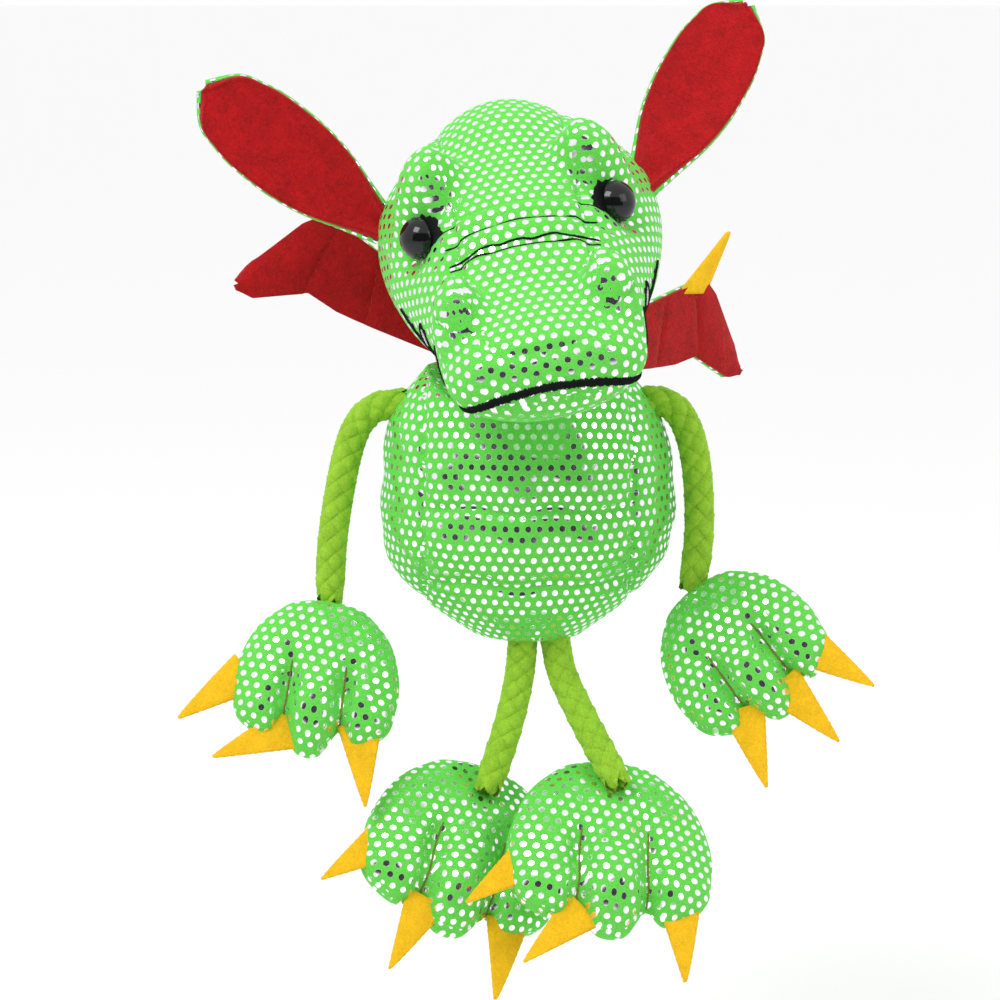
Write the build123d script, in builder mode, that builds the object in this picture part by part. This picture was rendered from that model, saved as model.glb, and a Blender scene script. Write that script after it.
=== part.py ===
"""A stuffed dragon finger puppet: foil-dotted cloth, felt wings and ears, braided cord limbs.

The puppet stands upright and looks along -Y. +X is its own left side and +Z is up. The origin lies on the
axis of the finger sleeve, at the level of the puppet's seat. All lengths are in millimetres.
"""
import math
import os

from build123d import *

os.makedirs("parts", exist_ok=True)

# ---------------------------------------------------------------- driving dimensions
cloth = 0.8             # foil-dotted cloth with its backing
felt = 1.2              # plush or felt layer of an ear or a wing
claw_felt = 1.8         # thickness of a felt claw
cord_d = 6.4            # braided cotton cord of the limbs
joint_gap = 0.4         # room left round a piece that moves
ball_gap = 0.64         # room left round the ball at a cord's end

finger_d = 18.0         # inside of the finger sleeve
sleeve_depth = 42.0     # from the seat to the closed end of the sleeve
sleeve_wall = 0.8
hem_height = 0.8
hem_width = 1.6

body_width = 62.4       # at the widest part of the belly
body_depth = 45.0
body_height = 58.0      # from the seat to the top of the shoulders
seat_z = -2.3           # lowest face of the body
belly_panel_width = 44.0

head_length = 84.0      # from the front of the snout to the back of the skull
head_width = 60.0
head_height = 54.0
gusset_width = 27.0
neck_d = 16.0

eye_d = 9.0
eye_dome = 3.6
eye_shank_d = 2.4
eye_shank_length = 7.0
washer_d = 8.0
washer_thick = 1.0
stitch = 1.4            # width of a line of black embroidery
fang_size = 3.0

ear_length = 43.0
ear_width = 19.0
wing_span = 60.0
wing_height = 24.0
vein = 1.0              # width of a wing's stitched vein

hand_width = 35.0
hand_length = 31.0
hand_thick = 15.0
foot_width = 44.0
foot_length = 36.0
foot_thick = 16.0
claw_length = 15.0
claw_base = 9.0

cord_r = cord_d / 2
finger_r = finger_d / 2
sleeve_r = finger_r + sleeve_wall
neck_r = neck_d / 2
sides = {"left": 1, "right": -1}


def keep(piece, name):
    """Labels a finished piece and writes it to its own file."""
    piece.label = name
    export_step(piece, f"parts/{name}.step")


def padded_form(places, shrink):
    """A smooth closed form through elliptical sections, each a plane, half width and half height."""
    with BuildPart() as form:
        for place, half_width, half_height in places:
            with BuildSketch(place):
                Ellipse(half_width - shrink, half_height - shrink)
        loft()
    return form.part


def cross_plane(frame, centre):
    """A plane across the given frame's y axis, facing its -y, with its middle at the given local point."""
    local = Plane(centre, x_dir=(1, 0, 0), z_dir=(0, -1, 0))
    return Plane(frame.location * local.location)


def ellipsoid(frame, centre, radii):
    """A solid ellipsoid with the given radii along the frame's own axes."""
    ball = scale(Sphere(1, mode=Mode.PRIVATE), by=radii, mode=Mode.PRIVATE)
    return frame.location * Pos(*centre) * ball


# ---------------------------------------------------------------- body
# Each row: height above the seat, half width and half depth as shares of the body's, centre x, centre y.
body_rows = [
    (0.000, 0.42, 0.69, -1.2, -4.5),
    (0.085, 0.62, 0.80, -1.5, -5.5),
    (0.210, 0.88, 0.92, -1.5, -6.5),
    (0.395, 1.00, 1.00, -1.2, -7.5),
    (0.575, 0.99, 0.99, -1.0, -7.5),
    (0.850, 0.87, 0.90, -1.7, -6.0),
    (1.000, 0.62, 0.66, -1.7, -5.0),
]


def body_sections(inset):
    """The body's section planes; the end sections move inwards by the inset."""
    last = len(body_rows) - 1
    places = []
    for index, (share, wide, deep, x, y) in enumerate(body_rows):
        z = seat_z + share * body_height
        if index == 0:
            z += inset
        if index == last:
            z -= inset
        places.append((Plane((x, y, z)), wide * body_width / 2, deep * body_depth / 2))
    return places


# ---------------------------------------------------------------- head frame
# The head is modelled along its own axes: snout towards -y, crown towards +z. It nods down and tilts.
head_at = (-1.5, -14.4, 75.3)
head_turn = (9.94, -10.18, 2.93)
head_plane = Plane(Location(head_at, head_turn))

# Each row: distance behind the snout's front, half width, crown and underside as shares of the head's.
head_rows = [
    (0.000, 0.40, -0.05, -0.26),
    (0.050, 0.60, 0.01, -0.325),
    (0.145, 0.68, 0.09, -0.36),
    (0.275, 0.69, 0.22, -0.37),
    (0.420, 0.80, 0.335, -0.39),
    (0.600, 0.95, 0.48, -0.41),
    (0.740, 1.00, 0.59, -0.41),
    (0.860, 0.90, 0.59, -0.335),
    (0.955, 0.63, 0.48, -0.17),
    (1.000, 0.33, 0.33, 0.0),
]
snout_y = -50.5
back_y = snout_y + head_length


def head_sections(inset):
    """The head's section planes in its own frame, the end sections moved inwards by the inset."""
    last = len(head_rows) - 1
    places = []
    for index, (share, wide, top, bottom) in enumerate(head_rows):
        y = snout_y + share * head_length
        if index == 0:
            y += inset
        if index == last:
            y -= inset
        centre = (top + bottom) / 2 * head_height
        tall = (top - bottom) / 2 * head_height
        places.append((cross_plane(head_plane, (0, y, centre)), wide * head_width / 2, tall))
    return places


head_outer = padded_form(head_sections(0), 0)
head_inner = padded_form(head_sections(cloth), cloth)

# The neck is a stuffed ball between the shoulders and the underside of the skull.
neck_at = (-1.5, -5.0, 53.5)
with BuildPart() as neck_room:
    with Locations(neck_at):
        Sphere(neck_r + joint_gap)

# The shoulders are hollowed so that the head can nod and turn over them.
saddle_gap = 5.0
with BuildPart(head_plane) as saddle:
    with BuildSketch(cross_plane(head_plane, (0, 0, 0))):
        Ellipse(head_width / 2 + saddle_gap, 0.41 * head_height + saddle_gap)
    extrude(amount=head_length, both=True)

body_outer = padded_form(body_sections(0), 0) - saddle.part - neck_room.part
body_inner = padded_form(body_sections(cloth), cloth)

# ---------------------------------------------------------------- cord routes
# Points along the middle of each cord, from the pivot at the body to the pivot at the hand or foot. The
# third value says after which point the cord bends at its elbow or knee.
limbs = {
    "arm_right": (
        [
            (-30.4, -8.0, 46.5), (-34.4, -8.5, 45.4), (-37.6, -9.5, 41.8), (-39.7, -11.0, 35.3),
            (-41.7, -12.6, 24.8), (-43.0, -13.6, 14.6), (-43.2, -14.0, 5.5),
        ],
        3,
    ),
    "arm_left": (
        [
            (27.2, -8.0, 47.2), (30.9, -8.8, 45.2), (33.4, -10.0, 40.3), (34.9, -11.2, 33.0),
            (35.4, -13.0, 23.0), (35.0, -13.8, 14.7), (33.8, -14.0, 8.3),
        ],
        3,
    ),
    "leg_right": (
        [
            (-2.2, -15.4, -4.0), (-2.7, -15.8, -10.4), (-4.3, -17.2, -18.2), (-6.9, -20.2, -26.5),
            (-9.6, -23.5, -33.5),
        ],
        1,
    ),
    "leg_left": (
        [
            (4.9, -15.4, -4.0), (5.9, -16.6, -10.0), (9.3, -20.4, -16.6), (13.5, -25.8, -23.8),
            (17.6, -31.5, -30.1),
        ],
        1,
    ),
}
run_share = 0.45        # the part of the shorter run that an arc may use


def arc_radii(points):
    """The arc at each inner point is as large as its two runs allow."""
    radii = []
    for before, here, after in zip(points, points[1:], points[2:]):
        first = Vector(*here) - Vector(*before)
        second = Vector(*after) - Vector(*here)
        turn = math.radians(first.get_angle(second))
        radii.append(run_share * min(first.length, second.length) / math.tan(turn / 2))
    return radii


def bend_point(points, index):
    """The elbow or knee, halfway along the run that starts at the given point."""
    return (Vector(*points[index]) + Vector(*points[index + 1])) / 2


def cord_tube(points):
    """A tube along the points with a rounded start, made of straight runs and tangent arcs."""
    radii = arc_radii(points)
    with BuildPart() as tube:
        with BuildLine() as route:
            FilletPolyline(*points, radius=radii)
        with BuildSketch(Plane(origin=route.line @ 0, z_dir=route.line % 0)):
            Circle(cord_r)
        sweep()
        with Locations(points[0]):
            Sphere(cord_r)
    print("cord arcs", [round(radius, 1) for radius in radii], "mm")
    return tube.part


def cord_room(pivot, way, axis, swing, reach):
    """The room that a cord needs round its pivot, from one end of its swing to the other."""
    with BuildPart() as room:
        with Locations(tuple(pivot)):
            Sphere(cord_r + ball_gap)
        for angle in (-swing, 0, swing):
            turned = Vector(*way).rotate(Axis((0, 0, 0), axis), angle)
            with Locations(Plane(origin=tuple(pivot), z_dir=turned)):
                Cylinder(cord_r + joint_gap, reach, align=(Align.CENTER, Align.CENTER, Align.MIN))
    return room.part


root_swing = 45         # how far an arm or leg cord swings at the body, degrees each way
end_swing = 25          # how far a hand or foot swings on its cord
room_reach = 14.0
cord_rooms = []
for limb_points, _ in limbs.values():
    leaving = Vector(*limb_points[1]) - Vector(*limb_points[0])
    cord_rooms.append(cord_room(limb_points[0], leaving, (1, 0, 0), root_swing, room_reach))

# ---------------------------------------------------------------- body pieces
with BuildPart() as sleeve_room:
    with Locations((0, 0, seat_z)):
        Cylinder(sleeve_r, sleeve_depth, align=(Align.CENTER, Align.CENTER, Align.MIN))

with BuildPart() as finger_sleeve:
    with Locations((0, 0, seat_z)):
        Cylinder(sleeve_r, sleeve_depth, align=(Align.CENTER, Align.CENTER, Align.MIN))
        Cylinder(
            finger_r, sleeve_depth - sleeve_wall,
            align=(Align.CENTER, Align.CENTER, Align.MIN), mode=Mode.SUBTRACT,
        )
keep(finger_sleeve.part, "finger_sleeve")

with BuildPart() as sleeve_hem:
    with Locations((0, 0, seat_z)):
        Cylinder(finger_r + hem_width, hem_height, align=(Align.CENTER, Align.CENTER, Align.MAX))
        Cylinder(finger_r, hem_height, align=(Align.CENTER, Align.CENTER, Align.MAX), mode=Mode.SUBTRACT)
keep(sleeve_hem.part, "sleeve_hem")

with BuildPart() as body_stuffing:
    add(body_inner)
    add(saddle.part, mode=Mode.SUBTRACT)
    add(neck_room.part, mode=Mode.SUBTRACT)
    add(sleeve_room.part, mode=Mode.SUBTRACT)
    for room in cord_rooms:
        add(room, mode=Mode.SUBTRACT)
keep(body_stuffing.part, "body_stuffing")

with BuildPart() as body_skin:
    add(body_outer)
    add(body_inner, mode=Mode.SUBTRACT)
    add(sleeve_room.part, mode=Mode.SUBTRACT)
    for room in cord_rooms:
        add(room, mode=Mode.SUBTRACT)

belly_y = body_rows[3][4]
reach_all = 2 * body_height + body_width
with BuildPart() as belly_block:
    with Locations((body_rows[3][3], belly_y, 0)):
        Box(belly_panel_width, reach_all, 2 * reach_all, align=(Align.CENTER, Align.MAX, Align.CENTER))

with BuildPart() as belly_panel:
    add(body_skin.part)
    add(belly_block.part, mode=Mode.INTERSECT)
keep(belly_panel.part, "belly_panel")

for side, sign in sides.items():
    with BuildPart() as side_panel:
        add(body_skin.part)
        add(belly_block.part, mode=Mode.SUBTRACT)
        with Locations((body_rows[3][3], 0, 0)):
            Box(
                reach_all, 2 * reach_all, 2 * reach_all,
                align=(Align.MIN if sign > 0 else Align.MAX, Align.CENTER, Align.CENTER), mode=Mode.INTERSECT,
            )
    keep(side_panel.part, f"side_panel_{side}")

# ---------------------------------------------------------------- neck
with BuildPart() as neck_stuffing:
    with Locations(neck_at):
        Sphere(neck_r - cloth)
keep(neck_stuffing.part, "neck_stuffing")

with BuildPart() as neck_cloth:
    with Locations(neck_at):
        Sphere(neck_r)
        Sphere(neck_r - cloth, mode=Mode.SUBTRACT)
keep(neck_cloth.part, "neck_cloth")

# ---------------------------------------------------------------- head pieces
mouth_z = -0.225 * head_height
nose_y = snout_y + 0.135 * head_length
eye_at = {side: (sign * 0.345 * head_width, -9.5, 0.25 * head_height) for side, sign in sides.items()}
eye_way = {side: (sign * 0.80, -0.55, 0.20) for side, sign in sides.items()}


def on_head(point):
    """A point given in the head's own frame, in the puppet's frame."""
    return tuple(head_plane.from_local_coords(point))


def eye_plane(side):
    """The plane on which one eye's flat back sits, facing outwards."""
    way = head_plane.from_local_coords(eye_way[side]) - head_plane.origin
    return Plane(origin=on_head(eye_at[side]), z_dir=way)


bottom = (Align.CENTER, Align.CENTER, Align.MIN)
under = (Align.CENTER, Align.CENTER, Align.MAX)
washer_depth = 4.0      # how far under the eye its locking washer lies
patch_r = eye_d / 2 + 2.0
sight = 12.0            # how far an eye's room reaches out of the head


def eye_room(side):
    """The socket that one eye, its shank and its washer need in the head."""
    with BuildPart() as room:
        with Locations(eye_plane(side)):
            Cylinder(eye_d / 2, sight, align=bottom)
            Cylinder(eye_shank_d / 2, eye_shank_length, align=under)
        with Locations(eye_plane(side).offset(-washer_depth)):
            Cylinder(washer_d / 2, washer_thick, align=under)
    return room.part


eye_rooms = {side: eye_room(side) for side in sides}

with BuildPart() as head_stuffing:
    add(head_inner)
    add(neck_room.part, mode=Mode.SUBTRACT)
    for side in sides:
        add(eye_rooms[side], mode=Mode.SUBTRACT)
keep(head_stuffing.part, "head_stuffing")

with BuildPart() as head_skin:
    add(head_outer)
    add(head_inner, mode=Mode.SUBTRACT)
    add(neck_room.part, mode=Mode.SUBTRACT)
    for side in sides:
        add(eye_rooms[side], mode=Mode.SUBTRACT)

wide = 3 * head_width   # larger than the head in every direction

with BuildPart(head_plane) as mouth_block:
    with Locations((0, nose_y, mouth_z)):
        Box(wide, wide, stitch, align=(Align.CENTER, Align.MAX, Align.CENTER))

with BuildPart(head_plane) as upper_block:
    with Locations((0, 0, mouth_z)):
        Box(wide, wide, wide, align=bottom)

with BuildPart(head_plane) as nose_block:
    with Locations((0, nose_y, mouth_z)):
        Box(wide, wide, wide, align=(Align.CENTER, Align.MAX, Align.MIN))

with BuildPart(head_plane) as gusset_block:
    with Locations((0, nose_y, mouth_z)):
        Box(gusset_width, wide, wide, align=(Align.CENTER, Align.MIN, Align.MIN))

bridge_lines = [-0.455 * head_height, -0.37 * head_height, -0.275 * head_height]
with BuildPart(head_plane) as bridge_block:
    with Locations(*[(0, y, 0) for y in bridge_lines]):
        Box(gusset_width, stitch, wide, align=bottom)

with BuildPart() as mouth_stitching:
    add(head_skin.part)
    add(mouth_block.part, mode=Mode.INTERSECT)
keep(mouth_stitching.part, "mouth_stitching")

with BuildPart() as chin_panel:
    add(head_skin.part)
    add(upper_block.part, mode=Mode.SUBTRACT)
    add(mouth_block.part, mode=Mode.SUBTRACT)
keep(chin_panel.part, "chin_panel")

with BuildPart() as nose_panel:
    add(head_skin.part)
    add(nose_block.part, mode=Mode.INTERSECT)
    add(mouth_block.part, mode=Mode.SUBTRACT)
keep(nose_panel.part, "nose_panel")

with BuildPart() as crown_gusset:
    add(head_skin.part)
    add(gusset_block.part, mode=Mode.INTERSECT)
    add(bridge_block.part, mode=Mode.SUBTRACT)
keep(crown_gusset.part, "crown_gusset")

with BuildPart() as bridge_stitching:
    add(head_skin.part)
    add(gusset_block.part, mode=Mode.INTERSECT)
    add(bridge_block.part, mode=Mode.INTERSECT)
keep(bridge_stitching.part, "bridge_stitching")

jaw_z = mouth_z + 4.0
jaw_length = 28.0
jaw_end = -6.0
fang_y = (-29.0, -17.0)
brow_at = (0.31 * head_width, -1.0, 0.31 * head_height)
brow_size = (8.0, 9.0, 9.0)
nostril_at = (0.26 * head_width, -35.5, 0.03 * head_height)
nostril_size = (6.2, 8.0, 6.4)
shared = {}             # the left and right pieces that are kept in one file


def pair_up(piece, name):
    """Keeps a left and a right piece together as two solids of one node."""
    shared.setdefault(name, []).append(piece)
    if len(shared[name]) == len(sides):
        keep(Compound(children=shared[name]), name)


for side, sign in sides.items():
    outward = Align.MIN if sign > 0 else Align.MAX

    with BuildPart(head_plane) as cheek_block:
        with Locations((sign * gusset_width / 2, nose_y, mouth_z)):
            Box(wide, wide, wide, align=(outward, Align.MIN, Align.MIN))

    with BuildPart() as patch_block:
        with Locations(eye_plane(side)):
            Cylinder(patch_r, sight, align=(Align.CENTER, Align.CENTER, Align.CENTER))

    with BuildPart(head_plane) as jaw_block:
        with Locations((sign * gusset_width / 2, jaw_end, jaw_z)):
            Box(wide, jaw_length, stitch, align=(outward, Align.MAX, Align.MIN))

    with BuildPart(head_plane) as fang_block:
        with Locations(*[(sign * gusset_width / 2, y, jaw_z) for y in fang_y]):
            Box(wide, fang_size, fang_size, align=(outward, Align.CENTER, Align.MAX))

    with BuildPart() as cheek_panel:
        add(head_skin.part)
        add(cheek_block.part, mode=Mode.INTERSECT)
        add(patch_block.part, mode=Mode.SUBTRACT)
        add(jaw_block.part, mode=Mode.SUBTRACT)
        add(fang_block.part, mode=Mode.SUBTRACT)
    keep(cheek_panel.part, f"cheek_panel_{side}")

    for block, name in (
        (patch_block, "eye_patches"), (jaw_block, "jaw_stitching"), (fang_block, "fangs"),
    ):
        with BuildPart() as embroidery:
            add(head_skin.part)
            add(cheek_block.part, mode=Mode.INTERSECT)
            add(block.part, mode=Mode.INTERSECT)
        pair_up(embroidery.part, name)

    for centre, radii, name in ((brow_at, brow_size, "brows"), (nostril_at, nostril_size, "nostrils")):
        bump_at = (sign * centre[0], centre[1], centre[2])
        with BuildPart() as bump:
            add(ellipsoid(head_plane, bump_at, radii))
            add(head_outer, mode=Mode.SUBTRACT)
            add(eye_rooms[side], mode=Mode.SUBTRACT)
        pair_up(bump.part, name)

    dome_r = (eye_d ** 2 / 4 + eye_dome ** 2) / (2 * eye_dome)
    with BuildPart() as eye:
        with Locations(eye_plane(side).offset(eye_dome - dome_r)):
            Sphere(dome_r)
        split(bisect_by=eye_plane(side), keep=Keep.TOP)
        with Locations(eye_plane(side)):
            Cylinder(eye_shank_d / 2, eye_shank_length, align=under)
    keep(eye.part, f"eye_{side}")

    with BuildPart() as washer:
        with Locations(eye_plane(side).offset(-washer_depth)):
            Cylinder(washer_d / 2, washer_thick, align=under)
            Cylinder(eye_shank_d / 2, washer_thick, align=under, mode=Mode.SUBTRACT)
    pair_up(washer.part, "eye_washers")

# ---------------------------------------------------------------- ears
# Each ear: the point where it is sewn to the head, and the way it points.
ears = {
    "left": ((25.9, -2.2, 97.5), (0.475, 0.45, 0.755)),
    "right": ((-35.2, -4.2, 86.2), (-0.782, -0.07, 0.62)),
}


def leaf_plane(root, way, facing):
    """A plane that holds a flat leaf: x along it from its root, z out of its front."""
    along = Vector(*way).normalized()
    across = Vector(*facing).cross(along).normalized()
    return Plane(origin=root, x_dir=along, z_dir=along.cross(across))


def sheet_pair(plane, outline, names, blocks=()):
    """Two felt layers back to back, the lining in front of the plane and the back behind it."""
    for name, way in zip(names, (1, -1)):
        with BuildPart() as layer:
            with BuildSketch(plane):
                add(outline)
            extrude(amount=way * felt)
            for block in blocks:
                add(block, mode=Mode.SUBTRACT)
        keep(layer.part, name)


def ear_outline():
    """A leaf with a narrow root and a blunt rounded tip."""
    half = ear_width / 2
    root_half = 0.35 * half
    tip_half = 0.55 * half
    shoulder = 0.95 * ear_length
    with BuildSketch() as leaf:
        with BuildLine():
            ThreePointArc((0, -root_half), (0.5 * ear_length, -half), (shoulder, -tip_half))
            ThreePointArc((shoulder, -tip_half), (ear_length, 0), (shoulder, tip_half))
            ThreePointArc((shoulder, tip_half), (0.5 * ear_length, half), (0, root_half))
            Line((0, root_half), (0, -root_half))
        make_face()
    return leaf.sketch


for side, (root, way) in ears.items():
    plane = leaf_plane(root, way, (0, -1, 0.1))
    sheet_pair(plane, ear_outline(), (f"ear_lining_{side}", f"ear_back_{side}"))

# ---------------------------------------------------------------- wings
# Each wing: the point where it is sewn to the back, how far its tip is raised and swept back, degrees.
wings = {
    "left": ((8.0, 17.5, 52.0), -5.0, 48.0),
    "right": ((-8.0, 17.5, 52.0), 18.0, 8.0),
}


def wing_plane(side):
    """The plane of one wing: x out along the span, z towards the front."""
    root, raised, swept = wings[side]
    rise = math.radians(raised)
    sweep_angle = math.radians(swept)
    out = sides[side] * math.cos(rise)
    way = (out * math.cos(sweep_angle), math.cos(rise) * math.sin(sweep_angle), math.sin(rise))
    return leaf_plane(root, way, (sides[side] * math.sin(sweep_angle), -math.cos(sweep_angle), 0))


def up_sign(side):
    """+1 where a wing plane's y axis points up, -1 where it points down."""
    return 1 if wing_plane(side).y_dir.Z > 0 else -1


# Corners as shares of the span and of the height.
wing_corners = {
    "root_low": (0, -0.10), "root_top": (0, 0.20), "thorn": (0.76, 0.80), "outer": (0.97, 0.14),
    "tip": (1.0, -0.08), "tip_low": (0.93, -0.16), "scallop_1": (0.74, 0.05), "scallop_2": (0.50, -0.06),
}


def wing_points(side):
    """The wing's corners in its plane."""
    up = up_sign(side)
    return {name: (x * wing_span, up * y * wing_height) for name, (x, y) in wing_corners.items()}


def wing_outline(side):
    """A bat wing: straight leading edge up to the thorn, blunt tip, scalloped trailing edge."""
    at = wing_points(side)
    with BuildSketch() as wing:
        with BuildLine():
            Polyline(
                at["tip_low"], at["scallop_1"], at["scallop_2"], at["root_low"], at["root_top"],
                at["thorn"], at["outer"],
            )
            ThreePointArc(at["outer"], at["tip"], at["tip_low"])
        make_face()
    return wing.sketch


vein_tops = (0.70, 0.52)
vein_feet = (0.76, 0.50)
thorn_length = 14.0
thorn_base = 9.0

for side in sides:
    plane = wing_plane(side)
    up = up_sign(side)
    with BuildPart() as veins:
        with BuildSketch(plane):
            for top_share, foot_share in zip(vein_tops, vein_feet):
                top_point = Vector(top_share * wing_span, up * wing_height)
                foot_point = Vector(foot_share * wing_span, -up * 0.3 * wing_height)
                middle = (top_point + foot_point) / 2
                run = top_point - foot_point
                with Locations((middle.X, middle.Y)):
                    Rectangle(vein, run.length, rotation=math.degrees(math.atan2(run.Y, run.X)) - 90)
        extrude(amount=2 * felt, both=True)
    with BuildPart() as wing_stitching:
        with BuildSketch(plane):
            add(wing_outline(side))
        extrude(amount=felt, both=True)
        add(veins.part, mode=Mode.INTERSECT)
    keep(wing_stitching.part, f"wing_stitching_{side}")
    names = (f"wing_lining_{side}", f"wing_back_{side}")
    sheet_pair(plane, wing_outline(side), names, [veins.part])
    # The thorn stands on the outer edge of the wing, beside its top corner.
    at = wing_points(side)
    corner = Vector(*at["thorn"])
    edge_way = (Vector(*at["outer"]) - corner).normalized()
    lead_way = (Vector(*at["root_top"]) - corner).normalized()
    out_way = -(edge_way + lead_way).normalized()
    start = corner + lead_way * thorn_base
    with BuildPart() as thorn:
        with BuildSketch(plane):
            with BuildLine():
                Polyline(start, corner, corner + out_way * thorn_length, close=True)
            make_face()
        extrude(amount=claw_felt / 2, both=True)
    keep(thorn.part, f"wing_claw_{side}")

# ---------------------------------------------------------------- limb cords
for name, (points, bend_after) in limbs.items():
    elbow = bend_point(points, bend_after)
    wrist = points[-1]
    run_out = Vector(*points[bend_after]) - Vector(*points[bend_after + 1])
    with BuildPart() as upper:
        add(cord_tube(points[: bend_after + 1] + [tuple(elbow)]))
        with Locations(tuple(elbow)):
            Sphere(cord_r + joint_gap, mode=Mode.SUBTRACT)
    keep(upper.part, f"{name}_upper_cord")
    with BuildPart() as lower:
        add(cord_tube([tuple(elbow)] + points[bend_after + 1:]))
        with Locations(wrist):
            Sphere(cord_r)
    keep(lower.part, f"{name}_lower_cord")

# ---------------------------------------------------------------- hands and feet
# Each row: share of the length from the wrist, half width and half thickness as shares of the whole.
mitt_rows = [
    (0.00, 0.42, 0.46), (0.16, 0.74, 0.74), (0.42, 0.97, 0.95), (0.68, 1.00, 1.00), (0.88, 0.88, 0.80),
    (1.00, 0.55, 0.40),
]
ankle_back = 7.0        # from the heel to the middle of the ankle cord
seat_gap = 1.6          # the cord's pivot stands this far outside the cloth
ankle_sink = 0.42       # a foot's middle lies this share of its thickness further down
seam_drop = 0.4         # the side seam of a hand or foot lies this far under its middle

# Each mitt: pitch down from level, roll about the way it faces, lean about its own length, width, length,
# thickness, whether the cord enters its top, and for each claw its place across the mitt, its distance
# from the wrist and its angle.
mitts = {
    "hand_right": (
        "arm_right", 62.0, 8.0, 0.0, (hand_width, hand_length, hand_thick), False,
        ((-0.47, 0.60, -48.0), (-0.17, 0.93, -62.0), (0.30, 0.88, 12.0)),
    ),
    "hand_left": (
        "arm_left", 62.0, -38.0, 0.0, (hand_width, hand_length, hand_thick), False,
        ((-0.20, 0.93, -20.0), (0.10, 0.95, 8.0), (0.36, 0.82, 22.0)),
    ),
    "foot_right": (
        "leg_right", 50.0, 14.0, 12.0, (foot_width, foot_length, foot_thick), True,
        ((-0.42, 0.66, -42.0), (-0.15, 0.96, -14.0), (0.28, 0.93, 4.0)),
    ),
    "foot_left": (
        "leg_left", 50.0, 0.0, 12.0, (foot_width, foot_length, foot_thick), True,
        ((-0.42, 0.66, -52.0), (-0.17, 0.96, -46.0), (0.33, 0.88, 4.0)),
    ),
}


def mitt_start(size, top_entry):
    """Where the heel or wrist end is and how low the mitt lies under its cord's pivot."""
    if top_entry:
        return ankle_back, -(seat_gap + ankle_sink * size[2])
    return -seat_gap, 0.0


def mitt_sections(frame, size, top_entry, inset):
    """Section planes of a hand or foot; its frame's origin is the pivot of its cord."""
    width, length, thick = size
    start_y, drop = mitt_start(size, top_entry)
    last = len(mitt_rows) - 1
    places = []
    for index, (share, wide_share, thick_share) in enumerate(mitt_rows):
        y = start_y - share * length
        if index == 0:
            y -= inset
        if index == last:
            y += inset
        plane = cross_plane(frame, (0, y, drop))
        places.append((plane, wide_share * width / 2, thick_share * thick / 2))
    return places


for name, (limb, pitch, roll, lean, size, top_entry, claws) in mitts.items():
    points, _ = limbs[limb]
    pivot = points[-1]
    frame = Plane(Location(pivot, (0, roll, 0)) * Rot(pitch, 0, 0) * Rot(0, lean, 0))
    arriving = Vector(*points[-2]) - Vector(*pivot)
    room = cord_room(pivot, arriving, (1, 0, 0), end_swing, room_reach)
    outer = padded_form(mitt_sections(frame, size, top_entry, 0), 0)
    inner = padded_form(mitt_sections(frame, size, top_entry, cloth), cloth)
    width, length, thick = size
    start_y, drop = mitt_start(size, top_entry)

    with BuildPart() as mitt_stuffing:
        add(inner)
        add(room, mode=Mode.SUBTRACT)
    keep(mitt_stuffing.part, f"{name}_stuffing")

    with BuildPart() as mitt_skin:
        add(outer)
        add(inner, mode=Mode.SUBTRACT)
        add(room, mode=Mode.SUBTRACT)

    with BuildPart() as top_block:
        with Locations(Plane(frame.location * Pos(0, 0, drop - seam_drop))):
            Box(4 * width, 4 * width, 2 * width, align=bottom)

    with BuildPart() as mitt_top:
        add(mitt_skin.part)
        add(top_block.part, mode=Mode.INTERSECT)
    keep(mitt_top.part, f"{name}_top")

    with BuildPart() as mitt_under:
        add(mitt_skin.part)
        add(top_block.part, mode=Mode.SUBTRACT)
    keep(mitt_under.part, f"{name}_sole" if top_entry else f"{name}_palm")

    with BuildPart() as mitt_claws:
        for across, down, angle in claws:
            base = Vector(across * width, start_y - down * length, drop)
            spot = Plane(frame.location * Pos(base.X, base.Y, base.Z) * Rot(0, 0, angle))
            with BuildSketch(spot):
                with BuildLine():
                    Polyline(
                        (-claw_base / 2, claw_base / 2), (-claw_base / 2, 0), (0, -claw_length),
                        (claw_base / 2, 0), (claw_base / 2, claw_base / 2), close=True,
                    )
                make_face()
            extrude(amount=claw_felt / 2, both=True)
        add(outer, mode=Mode.SUBTRACT)
    keep(mitt_claws.part, f"{name}_claws")
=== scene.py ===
# %% [markdown]
# # Stuffed dragon finger puppet
# The CAD model is the frame. Cloth, felt, embroidery and cords are made here over it, each piece on the
# body that carries it. Everything is modelled in millimetres and turned into metres as it becomes a mesh.

# %% Tools and frame
import math

import bmesh
import bpy
import numpy as np
from mathutils import Matrix, Vector
from mathutils.bvhtree import BVHTree


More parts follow.
